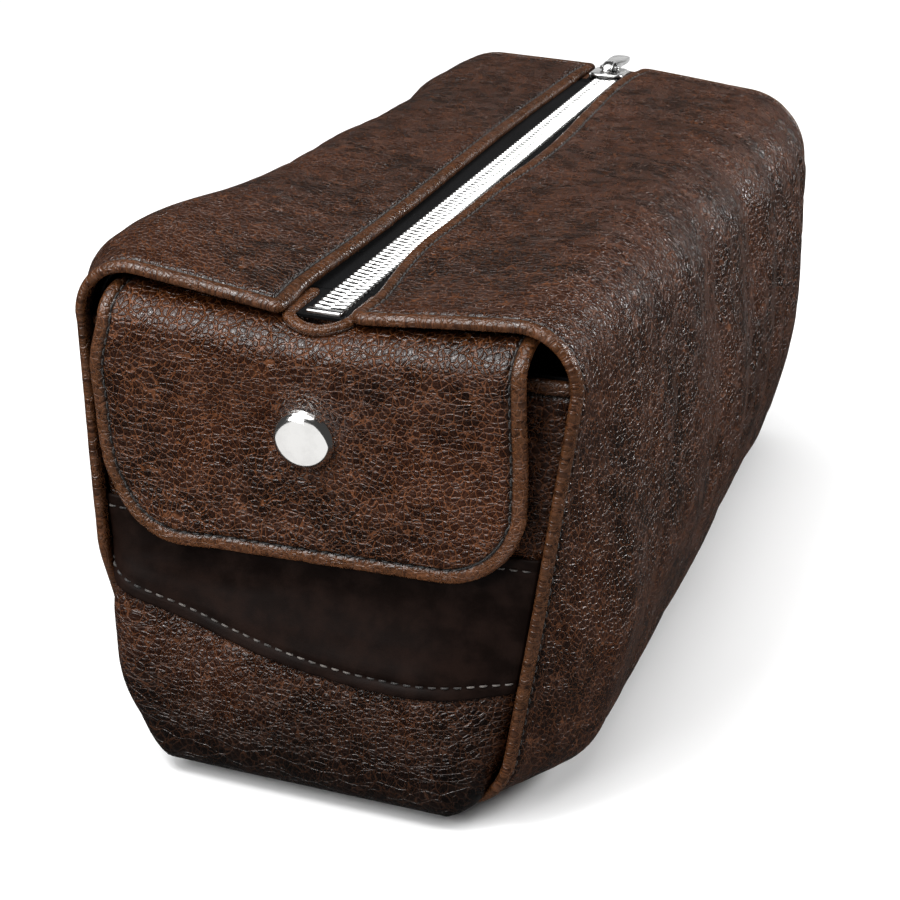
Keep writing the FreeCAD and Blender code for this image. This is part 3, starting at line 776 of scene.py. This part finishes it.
def end_outline(t, side):
    """Half-width of an end panel against height, from the tube's section at that end."""
    x, z, _ = section(np.array([t, t]), np.array([EDGE_X, EDGE_X]), side)
    inset = FOLDED + 0.2
    turn_x, turn_z = np.gradient(x[:, 0]), np.gradient(z[:, 0])
    size = np.hypot(turn_x, turn_z)
    inner_x = x[:, 0] - turn_z / size * inset
    inner_z = z[:, 0] + turn_x / size * inset
    wall = (inner_z < PANEL_TOP + 4) & (np.arange(len(inner_z)) < 98)
    order = np.argsort(inner_z[wall])
    return inner_x[wall][order], inner_z[wall][order]


class EndPanel:
    """The face of one end, as a surface over x and z, seen from outside that end."""

    def __init__(self, rear):
        self.rear = rear
        self.outlines = {side: end_outline(1.0 if rear else 0.0, -side if rear else side)
                         for side in (1, -1)}
        self.floor = FOLDED + 0.2

    def half_width(self, z, side):
        xs, zs = self.outlines[side]
        return np.interp(z, zs, xs)

    def across(self, u, z):
        """x for a share u from -1 at the left rim to 1 at the right rim."""
        return np.where(u < 0, u * self.half_width(z, -1), u * self.half_width(z, 1))

    def place(self, u, z, lift=0.0):
        """The face stands recessed in its rim, and low down swells out over it."""
        x = self.across(u, z)
        gap_side = self.half_width(z, 1) * (1 - u)
        gap_side = np.where(u < 0, self.half_width(z, -1) * (1 + u), gap_side)
        gap_low = z - self.floor
        inside = np.minimum(gap_side, gap_low)
        rise = np.sqrt(np.clip(1 - (1 - np.clip(inside / 15, 0, 1)) ** 2, 0, 1))
        full = np.where(u < 0, smooth(72, 44, z), smooth(52, 18, z))
        full = mix(full, smooth(62, 30, z), smooth(1.0, 0.5, np.abs(u)))
        out = PANEL_FACE - 3.4 * full + mix(1.2, 13.5, full) * rise
        out = out + 1.5 * hump(x, 5, 34) * hump(z, 46, 14)
        out = out + 0.6 * noise(x / 24, z / 20, 0.5, 41) * smooth(0, 10, inside) * smooth(80, 55, z)
        out = out + 0.35 * ridged(x / 32 + 0.3 * z / 9, z / 7.5, 3.1, 43) * smooth(2, 9, inside)
        spread_side = 3.2 * np.sin(np.pi * np.clip(gap_side / 14, 0, 1))
        spread_side = spread_side * np.where(u < 0, smooth(66, 44, z), 0.4 * smooth(24, 8, z))
        spread_low = 3.2 * np.sin(np.pi * np.clip(gap_low / 13, 0, 1))
        points = np.stack([x + np.sign(u) * spread_side, -(out + lift), z - spread_low], axis=2)
        return turned(points) if self.rear else points


def shares_to_edges(count):
    """From -1 to 1, closer together towards both ends."""
    s = np.linspace(-1, 1, count)
    return np.sin(s * math.pi / 2) * 0.55 + s * 0.45


def make_end_panel(rear):
    panel = EndPanel(rear)
    end = end_name(rear)
    rise = BASE_RADIUS * 0.9
    low = panel.floor + rise * (1 - np.cos(np.linspace(0, math.pi / 2, 22)))
    top = graded(PANEL_TOP - low[-1], 1.8, end=edge_steps(PANEL_FOLDED / 2)) + low[-1]
    heights = np.concatenate([low[:-1], top])
    u = shares_to_edges(64)
    z = np.broadcast_to(heights[:, None], (len(heights), len(u)))
    u = np.broadcast_to(u[None, :], z.shape)
    x = panel.across(u, z)
    distance = PANEL_TOP - z
    sheet = Sheet(panel.place(u, z), distance, PANEL_LEATHER, PANEL_FOLDED, seam_height(distance),
                  outward=-1)
    # The panel's colour is scaled down as painted shade, darkest towards the bottom
    made = sheet.build(f"{end}_end_panel_leather", PEBBLED, skin_of(x, z, 5 if rear else 4),
                       {"painted_shade_scale": PANEL_SHADE_SCALE * smooth(-10, 45, z)})
    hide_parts(f"{end}_end_panel")
    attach(made, "bag")
    make_band(panel, end)
    backing = Sheet(panel.place(u * 0.985, z, -3.2), np.full(z.shape, NO_EDGE), CLOTH, outward=-1)
    cloth = backing.build(f"{end}_end_lining_cloth", LINING, skin_of(x, z, 3))
    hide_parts(f"{end}_end_lining")
    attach(cloth, "bag")


def band_low(x):
    return 39.0 + 13.0 * ((x - 22.0) / 72.0) ** 2


def band_high(x):
    return 76.6 + 0.02 * x


def make_band(panel, end):
    """The smooth strip across the end, stitched along both edges."""
    edge = [0.0, 0.05, 0.2, 0.5, 1.0, 1.7, 2.4, 2.8, 3.2, 3.8, 4.6]
    v = graded(36.0, 1.8, start=edge, end=edge) / 36.0
    u = shares_to_edges(64)
    u = np.broadcast_to(u[None, :], (len(v), len(u)))
    x = u * 50.0
    for _ in range(2):
        z = mix(band_low(x), band_high(x), v[:, None])
        x = panel.across(u, z)
    distance = np.minimum(z - band_low(x), band_high(x) - z)
    dip = -0.30 * hump(distance, BAND_SEAM, 0.5)
    sheet = Sheet(panel.place(u, z, 1.3), distance, BAND_LEATHER, height=dip, outward=-1)
    made = sheet.build(f"{end}_band_leather", SMOOTH, skin_of(x, z, 6))
    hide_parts(f"{end}_end_band")
    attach(made, "bag")
    lines = [line_at(sheet, side, BAND_SEAM) for side in ("first_row", "last_row")]
    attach(stitches(f"{end}_band_stitches", lines, PALE_THREAD), "bag")


# ---- the flaps ----

BEND_RADIUS = 7.0
BEND_PROUD = 4.6
FLAP_CORNER = 21.0
FLAP_WIDTH = 107.0
FLAP_RIGHT = 52.3


def flap_left(z):
    return -52.0 - 5.6 * smooth(128, 106, z) + 1.6 * smooth(96, 74, z)


def flap_bottom(x):
    return FLAP_BOTTOM + 0.6 + 0.033 * (x + 10)


def flap_face(x, z):
    """How far the hanging flap stands out from the middle of the bag."""
    belly = 1.4 * hump(x, 26, 20) * hump(z, 96, 20) + 1.1 * hump(x, -36, 16) * hump(z, 96, 22)
    soft = 0.55 * noise(x / 21, z / 17, 0.2, 51)
    dimple = -0.6 * hump(np.hypot(x - SNAP_X, z - SNAP_Z), 7.5, 4.0)
    curl = 0.6 * smooth(84, FLAP_BOTTOM, z)
    ridges = sum(0.45 * hump(x, side * 7.0 - 1.5 + 0.05 * (129 - z) * side, 1.5) for side in (1, -1))
    creases = 0.35 * ridged((x + 0.6 * z) / 30, (z - 0.35 * x) / 7.5, 0.7, 53)
    hanging = (belly + soft + curl + creases) * smooth(FLAP_HINGE_Z + 4, 108, z)
    return FLAP_FACE + hanging + dimple + ridges * smooth(98, 120, z)


def round_corner(first, second, radius):
    """Distances from two edges, with the square corner between them drawn in to a round one."""
    p = np.clip(1 - first / radius, 0, 1)
    q = np.clip(1 - second / radius, 0, 1)
    drawn_p = p * np.sqrt(1 - q * q / 2)
    drawn_q = q * np.sqrt(1 - p * p / 2)
    return first + (p - drawn_p) * radius, second + (q - drawn_q) * radius


class FlapShape:
    """The flap's outer face. Across is from 0 at the left edge to 1 at the right one, and below
    is in millimetres from the lower edge, up the face, over the bend and into the bag."""

    def __init__(self, rear):
        self.rear = rear
        self.top = TAPE_TOP - 1.2
        self.low = FLAP_BOTTOM + 0.6
        self.face = self.top - BEND_RADIUS - self.low
        self.arc = BEND_RADIUS * math.pi / 2
        self.flat = FLAP_FACE - BEND_RADIUS - YOKE_INNER_Y
        self.length = self.face + self.arc + self.flat

    def bend_top(self, x):
        """The height of the bend's upper face, just under the top panels."""
        return self.top + (-0.075 if self.rear else 0.075) * np.abs(x)

    def place(self, across, below):
        from_left, from_low = round_corner(across * FLAP_WIDTH, below, FLAP_CORNER)
        from_right, from_low_right = round_corner((1 - across) * FLAP_WIDTH, below, FLAP_CORNER)
        from_left = np.where(across < 0.5, from_left, FLAP_WIDTH - from_right)
        from_low = np.where(across < 0.5, from_low, from_low_right)
        distance = np.minimum(corner_distance(from_left, from_low, FLAP_CORNER),
                              corner_distance(FLAP_WIDTH - from_left, from_low, FLAP_CORNER))
        plain_z = self.low + np.minimum(from_low, self.face)
        x = mix(flap_left(plain_z), FLAP_RIGHT, from_left / FLAP_WIDTH)
        top = self.bend_top(x)
        stretch = (top - BEND_RADIUS - self.low) / self.face
        turn = np.clip((self.face + self.arc - from_low) / BEND_RADIUS, 0, math.pi / 2)
        z = np.where(from_low < self.face, self.low + from_low * stretch,
                     top - BEND_RADIUS + BEND_RADIUS * np.cos(turn))
        z = z + (flap_bottom(x) - self.low) * smooth(self.low + 40, self.low, z)
        out = FLAP_FACE - BEND_RADIUS + (BEND_RADIUS + BEND_PROUD) * np.sin(turn)
        out = out - np.maximum(from_low - self.face - self.arc, 0)
        soft = smooth(self.face + self.arc * 0.5, self.face - 4, from_low)
        out = out + (flap_face(x, z) - FLAP_FACE) * soft
        out = out - BEND_PROUD * smooth(self.face + 1, self.face - 26, from_low)
        inside = smooth(self.face + self.arc - 1.5, self.face + self.arc + 1.5, from_low)
        trough = 4.6 * smooth(7.6, 5.8, np.abs(x)) * inside
        points = np.stack([x, -out, z - trough], axis=2)
        return (turned(points) if self.rear else points), np.maximum(distance, 0)


def make_flap(rear):
    end = end_name(rear)
    shape = FlapShape(rear)
    edge = edge_steps(FLAP_FOLDED / 2) + list(np.arange(8.9, FLAP_CORNER, 0.6))
    cols = graded(FLAP_WIDTH, 1.7, start=edge, end=edge) / FLAP_WIDTH
    rows = graded(shape.length, 1.5, start=edge)
    below, across = np.meshgrid(rows, cols, indexing="ij")
    points, distance = shape.place(across, below)
    distance[:, [0, -1]] = 0
    distance[0, :] = 0
    sheet = Sheet(points, distance, PANEL_LEATHER, FLAP_FOLDED, seam_height(distance), outward=-1)
    made = sheet.build(f"{end}_flap_sheet", PEBBLED,
                       skin_of(across * FLAP_WIDTH, below, 8 if rear else 7))
    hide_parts(f"{end}_flap_leather", f"{end}_flap_bend")
    lines = [line_at(sheet, side, SEAM) for side in ("first_col", "last_col", "first_row")]
    thread_piece = stitches(f"{end}_flap_stitches", lines, THREAD)
    for piece in (made, thread_piece):
        bend_flap(piece)
    make_backing(end, shape)


def bend_flap(piece):
    """Bakes the piece's placement into its mesh."""
    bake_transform(piece)


def make_backing(end, shape):
    """The leather on the flap's inner face."""
    below, across = np.meshgrid(np.linspace(5, shape.face - 5, 34), np.linspace(0.045, 0.955, 50),
                                indexing="ij")
    points, _ = shape.place(across, below)
    normals = grid_normals(points)
    sheet = Sheet(points + normals * 1.9, np.full(across.shape, NO_EDGE), CLOTH, outward=-1)
    made = sheet.build(f"{end}_flap_inner", BACKING, skin_of(across * FLAP_WIDTH, below, 9))
    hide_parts(f"{end}_flap_backing")
    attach(made, f"{end}_flap")


# ---- metal parts ----

def lathe(profile, centre, sides=72):
    """A turned shape about the Y axis: profile is radius and distance out along -Y."""
    turns = np.arange(sides) * 2 * math.pi / sides
    rings = [np.stack([centre[0] + r * np.cos(turns), np.full(sides, centre[1] - h),
                       centre[2] + r * np.sin(turns)], axis=1) for r, h in profile]
    return loft(rings)


def round_box(low, high, edge, corner, steps=4, sides=6):
    """A box with rounded upright corners and rounded top and bottom edges."""
    rings = []
    rises = [(edge * (1 - math.sin(a)), edge * (1 - math.cos(a)))
             for a in np.linspace(0, math.pi / 2, steps)]
    levels = [(inset, low[2] + rise) for inset, rise in rises]
    levels += [(inset, high[2] - rise) for inset, rise in rises[::-1]]
    for inset, z in levels:
        ring = []
        reach = corner - min(inset, corner * 0.9)
        for quarter, (sx, sy) in enumerate(((1, 1), (-1, 1), (-1, -1), (1, -1))):
            cx = (high[0] - corner) if sx > 0 else (low[0] + corner)
            cy = (high[1] - corner) if sy > 0 else (low[1] + corner)
            for a in np.linspace(0, math.pi / 2, sides):
                turn = a + quarter * math.pi / 2
                ring.append([cx + reach * math.cos(turn), cy + reach * math.sin(turn), z])
        rings.append(ring)
    return loft(rings)


def bar(path, ups, half_width, half_height, sides=10):
    """A rounded bar along a path of points."""
    path, ups = np.asarray(path, float), np.asarray(ups, float)
    ahead = np.gradient(path, axis=0)
    ahead /= np.linalg.norm(ahead, axis=1, keepdims=True)
    across = np.cross(ahead, ups)
    across /= np.linalg.norm(across, axis=1, keepdims=True)
    rise = np.cross(across, ahead)
    taper = np.ones(len(path))
    taper[[0, -1]] = 0.55
    turns = np.arange(sides) * 2 * math.pi / sides
    wide, tall = (size * np.sign(c) * np.abs(c) ** 0.7
                  for size, c in ((half_width, np.cos(turns)), (half_height, np.sin(turns))))
    return loft([[centre + size * (a * w + u * t) for w, t in zip(wide, tall)]
                 for centre, a, u, size in zip(path, across, rise, taper)])


TEETH_PITCH = 2.4
TOOTH_THICK = 0.58
TOOTH_TALL = 1.08
# Distance from the zip's middle, half-thickness and half-height
TOOTH_STATIONS = ((4.2, 0.36, 0.80), (4.05, 0.46, 1.10), (3.3, 0.50, 1.22), (2.2, 0.47, 1.14),
                  (1.6, 0.38, 0.92), (1.0, 0.40, 0.90), (0.35, 0.48, 0.96), (-0.30, 0.47, 0.92),
                  (-0.62, 0.32, 0.66))


def teeth(side, first, last):
    """The zip teeth of one side with centres from first to last along Y, on a shared pitch so
    that the two rows interlock."""
    middle = (TOOTH_LOW[2] + TOOTH_HIGH[2]) / 2
    shift = 0.0 if side > 0 else TEETH_PITCH / 2
    turns = (np.arange(8) + 0.5) * math.pi / 4
    parts = []
    low, high = math.ceil((first - shift) / TEETH_PITCH), math.floor((last - shift) / TEETH_PITCH)
    for k in range(low, high + 1):
        y = k * TEETH_PITCH + shift
        parts.append(loft([np.stack([np.full(8, side * x), y + half * TOOTH_THICK * np.cos(turns),
                                     middle + rise * TOOTH_TALL * np.sin(turns)], axis=1)
                           for x, half, rise in TOOTH_STATIONS]))
    return joined(parts)


METAL_PIECES = []


def metal_piece(name, shape, body, *nodes, material=ZIP_METAL, slot="zip_metal"):
    made = new_object(name, *shape, material)
    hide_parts(*nodes)
    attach(made, body)
    METAL_PIECES.append(made)


def make_teeth():
    """The long rows move with the top panels; a short run at each end stays with the bag."""
    reach = TAPE_HALF_LENGTH - 0.35
    for side in (1, -1):
        name = side_name(side)
        metal_piece(f"{name}_teeth_row", teeth(side, -reach, reach), f"{name}_top", f"{name}_zip_teeth")
    for end in ("front", "rear"):
        low, high = box_mm(f"{end}_zip_end_teeth")
        first, last = (low[1] + 0.5, -reach) if end == "front" else (reach, high[1] - 0.5)
        metal_piece(f"{end}_teeth_end", joined([teeth(side, first, last) for side in (1, -1)]),
                    "bag", f"{end}_zip_end_teeth")


def make_slider():
    """Two plates above and below the teeth, their turned-in rims, the bail, and the pull tag."""
    low, high = box_mm("zip_slider")
    top, bottom = TOOTH_HIGH[2] + 0.25, TOOTH_LOW[2] - 0.25
    near, far = low[1], high[1]
    parts = [round_box((low[0] + 0.4, near, top), (high[0] - 0.4, far, top + 1.5), 0.55, 2.6),
             round_box((low[0] + 0.6, near + 0.4, low[2]), (high[0] - 0.6, far - 0.4, bottom), 0.45, 2.4)]
    for side in (1, -1):
        inner, outer = sorted((side * low[0], side * (low[0] + 0.9)))
        for z_low, z_high in ((low[2] + 0.2, bottom + 0.75), (top - 0.75, top + 1.2)):
            parts.append(round_box((inner, near + 1.2, z_low), (outer, far - 1.2, z_high), 0.3, 0.4))
    turn = np.linspace(0, math.pi, 17)
    foot = top + 0.9
    rise = high[2] - foot - 0.6
    bail = np.stack([np.zeros(17), (near + far) / 2 - BAIL_HALF * np.cos(turn),
                     foot + rise * np.sin(turn) ** 0.8], axis=1)
    parts.append(bar(bail, np.tile([1.0, 0, 0], (17, 1)), 0.6, 1.7))
    metal_piece("slider_body", joined(parts), "slider", "zip_slider")
    metal_piece("pull_tag", pull_tag(*box_mm("zip_pull")), "pull", "zip_pull")


BAIL_HALF = 4.2
TAG_EDGE = 0.35


def pull_tag(low, high):
    """A flat tag with a slot for the bail, its edges rounded."""
    count = 64
    hole = np.array([0.0, PULL_PIVOT_Y + 1.5])
    turns = np.arange(count) * 2 * math.pi / count

    def oval(half_x, near, far, power):
        """A squared-off oval round the hole, reaching near behind it and far ahead."""
        c, s = np.cos(turns), np.sin(turns)
        reach = np.where(s > 0, far, near)
        size = (np.abs(c / half_x) ** power + np.abs(s / reach) ** power) ** (-1 / power)
        return np.stack([size * c, size * s], axis=1) + hole

    outer = oval(high[0], hole[1] - low[1] + 0.4, high[1] - hole[1], 5.0)
    outer[:, 0] *= 1 - 0.16 * hump(outer[:, 1], hole[1] + 5.0, 3.0)
    inner = oval(2.05, 1.35, 1.5, 4.0)
    middle = (low[2] + high[2]) / 2
    flat_half = (high[2] - low[2]) / 2 - TAG_EDGE
    rings = []
    for line, way, angles in ((outer, -1, np.linspace(-90, 90, 7)), (inner, 1, np.linspace(90, -90, 7))):
        away = line - hole
        away /= np.linalg.norm(away, axis=1, keepdims=True)
        for angle in angles:
            turn = math.radians(angle)
            z = middle + flat_half * np.sign(angle) + TAG_EDGE * math.sin(turn)
            flat = line + away * way * TAG_EDGE * (1 - math.cos(turn))
            rings.append(np.column_stack([flat, np.full(count, z)]))
    return loft(rings, loop=True)


def make_stops():
    low, high = box_mm("zip_bottom_stop")
    shape = round_box(low + (-0.6, -0.3, 0.2), high + (0.6, 0.3, 0.1), 0.4, 0.6)
    metal_piece("bottom_stop_bar", shape, "bag", "zip_bottom_stop")
    low, high = box_mm("zip_top_stops")
    parts = [round_box((x - 1.5, low[1] - 0.4, low[2]), (x + 1.5, high[1] + 0.2, high[2]), 0.4, 0.6)
             for x in (2.6, -2.6)]
    metal_piece("top_stop_bars", joined(parts), "bag", "zip_top_stops")


CAP_RADIUS = SNAP_RADIUS + 0.45
CAP_PROFILE = ([(0.02, 4.2)]
               + [(CAP_RADIUS * 0.93 * math.sin(a), 0.9 + 3.3 * math.cos(a) ** 0.9)
                  for a in np.linspace(0.08, 1.35, 16)]
               + [(CAP_RADIUS - 0.28, 1.15), (CAP_RADIUS - 0.08, 0.85), (CAP_RADIUS, 0.45),
                  (CAP_RADIUS - 0.1, 0.08), (CAP_RADIUS - 0.5, -0.15), (CAP_RADIUS - 1.4, -0.25),
                  (0.02, -0.25)])


def make_snaps():
    vertices, faces = lathe(CAP_PROFILE, (SNAP_X, -(FLAP_FACE - 0.1), SNAP_Z))
    for end, placed in (("front", vertices), ("rear", turned(vertices))):
        metal_piece(f"{end}_snap_dome", (placed, faces), f"{end}_flap", f"{end}_snap_cap",
                    material=NICKEL, slot="snap_nickel")


COLLAR_HALF = 8.0
COLLAR_END = 5.5
COLLAR_SIDES = 16


def make_collar(rear):
    """The folded leather edge round the closed end of the zip, lying on the flap's bend."""
    bend_y = FLAP_FACE - 0.6 - COLLAR_END
    straight = [(-COLLAR_HALF, y) for y in np.linspace(YOKE_INNER_Y + 2, bend_y, 10)]
    around = [(-COLLAR_HALF * math.cos(a), bend_y + COLLAR_END * math.sin(a))
              for a in np.linspace(0, math.pi, 19)[1:-1]]
    x, y = np.array(straight + around + [(-x, y) for x, y in straight[::-1]]).T
    sunk = np.clip((y - (FLAP_FACE - BEND_RADIUS)) / (BEND_RADIUS + BEND_PROUD), 0, 0.97)
    surface = FlapShape(rear).bend_top(x) - BEND_RADIUS + BEND_RADIUS * np.sqrt(1 - sunk ** 2)
    points = np.column_stack([x, -y, surface + 0.7])
    if rear:
        points = turned(points)
    vertices, faces = bar(points, np.tile([0, 0, 1.0], (len(points), 1)), 1.6, 1.2, COLLAR_SIDES)
    skin = skin_of(np.tile(np.arange(COLLAR_SIDES) * 0.6, len(points)),
                   np.repeat(np.arange(len(points)) * 1.7, COLLAR_SIDES), 11)
    all_over = np.ones(len(vertices))
    made = new_object(f"{end_name(rear)}_zip_collar", vertices, faces, PEBBLED,
                      {"skin": skin, "wear": all_over, "groove": 0 * all_over, "painted_shade_scale": all_over})
    bend_flap(made)


# ---- camera, light and floor ----

CAMERA_PLACE = (0.1613, -0.5032, 0.2814)
CAMERA_AZIMUTH, CAMERA_ELEVATION, CAMERA_ROLL = 19.2, 24.52, 0.88
CAMERA_LENS, CAMERA_SENSOR = 75.2, 36

# Place, aim, size and watts of the lights
LIGHTS = {"key": ((-0.46, -0.85, 0.62), (0, -0.1, 0.08), (0.60, 0.40), 6.0),
          "above": ((-0.31, -0.55, 1.06), (0, -0.1, 0.1), (0.30, 0.30), 6.5),
          "side": ((0.92, 0.50, 0.62), (0.04, 0.0, 0.1), (0.34, 0.34), 14)}
CEILING_STRENGTH, CEILING_ANGLE, CEILING_AIM = 2.8, 64, (0.20, 0.22, -1.0)
CARD_SIZE, CARD_WATTS = (1.1, 1.5), 4.6
WORLD_AS_LIGHT, WORLD_SEEN = 0.05, 1.0
FLOOR_HALF = 4000


def make_camera():
    azimuth, elevation, roll = (math.radians(a) for a in
                                (CAMERA_AZIMUTH, CAMERA_ELEVATION, CAMERA_ROLL))
    back = Vector((math.sin(azimuth) * math.cos(elevation),
                   -math.cos(azimuth) * math.cos(elevation), math.sin(elevation)))
    level = Vector((math.cos(azimuth), math.sin(azimuth), 0))
    upright = back.cross(level)
    right = math.cos(roll) * level + math.sin(roll) * upright
    up = math.cos(roll) * upright - math.sin(roll) * level
    data = bpy.data.cameras.new("camera")
    data.lens = CAMERA_LENS
    data.sensor_width = CAMERA_SENSOR
    camera = bpy.data.objects.new("camera", data)
    bpy.context.scene.collection.objects.link(camera)
    turn = Matrix((right, up, back)).transposed().to_4x4()
    camera.matrix_world = Matrix.Translation(CAMERA_PLACE) @ turn
    bpy.context.scene.camera = camera


def add_light(name, kind, place, aim):
    """A light at a place, shining along aim."""
    light = bpy.data.objects.new(name, bpy.data.lights.new(name, kind))
    bpy.context.scene.collection.objects.link(light)
    light.location = place
    light.rotation_euler = aim.to_track_quat("-Z", "Y").to_euler()
    return light


def area_light(name, place, target, size, watts):
    light = add_light(name, "AREA", place, Vector(target) - Vector(place))
    light.data.shape = "RECTANGLE"
    light.data.size, light.data.size_y = size
    light.data.energy = watts
    return light


def make_world():
    """White to the camera, and only a faint fill as a light."""
    world = bpy.data.worlds.new("studio")
    bpy.context.scene.world = world
    world.use_nodes = True
    tree = world.node_tree
    background = tree.nodes["Background"]
    background.inputs["Color"].default_value = (1, 1, 1, 1)
    seen = tree.nodes.new("ShaderNodeLightPath")
    strength = tree.nodes.new("ShaderNodeMapRange")
    strength.inputs["To Min"].default_value = WORLD_AS_LIGHT
    strength.inputs["To Max"].default_value = WORLD_SEEN
    tree.links.new(seen.outputs["Is Camera Ray"], strength.inputs["Value"])
    tree.links.new(strength.outputs[0], background.inputs["Strength"])


def make_studio():
    make_world()
    ceiling = add_light("ceiling", "SUN", (0, 0, 0), Vector(CEILING_AIM))
    ceiling.data.energy = CEILING_STRENGTH
    ceiling.data.angle = math.radians(CEILING_ANGLE)
    for name, settings in LIGHTS.items():
        area_light(name, *settings)
    metals = bpy.data.collections.new("metals")
    for piece in METAL_PIECES:
        metals.objects.link(piece)
    for end in (-1, 1):
        card = area_light("card", (0.10 * end, 0.78 * end, 0.28), (0.10 * end, 0.18 * end, 1.08),
                          CARD_SIZE, CARD_WATTS)
        card.visible_camera = False
        card.light_linking.receiver_collection = metals
    pale = Shade("pale_floor")
    pale.set(color=(0.9, 0.9, 0.9, 1), roughness=0.7, specular=0.2)
    corners = [(x * FLOOR_HALF, y * FLOOR_HALF, 0) for x, y in ((-1, -1), (1, -1), (1, 1), (-1, 1))]
    floor = new_object("floor", corners, [[0, 1, 2, 3]], pale.material)
    floor.visible_glossy = False
    bpy.context.scene.view_settings.view_transform = "Standard"


make_camera()
make_body()
for is_rear in (False, True):
    make_end_panel(is_rear)
    make_flap(is_rear)
    make_collar(is_rear)
make_teeth()
make_slider()
make_stops()
make_snaps()
make_studio()

# The CAD nodes that stay in view: the zip's tapes and the snaps' inner parts
for node_name, node in frame["nodes"].items():
    for part, better in (("tape", TAPE), ("snap", NICKEL)):
        if part in node_name:
            node.data.materials.clear()
            node.data.materials.append(better)
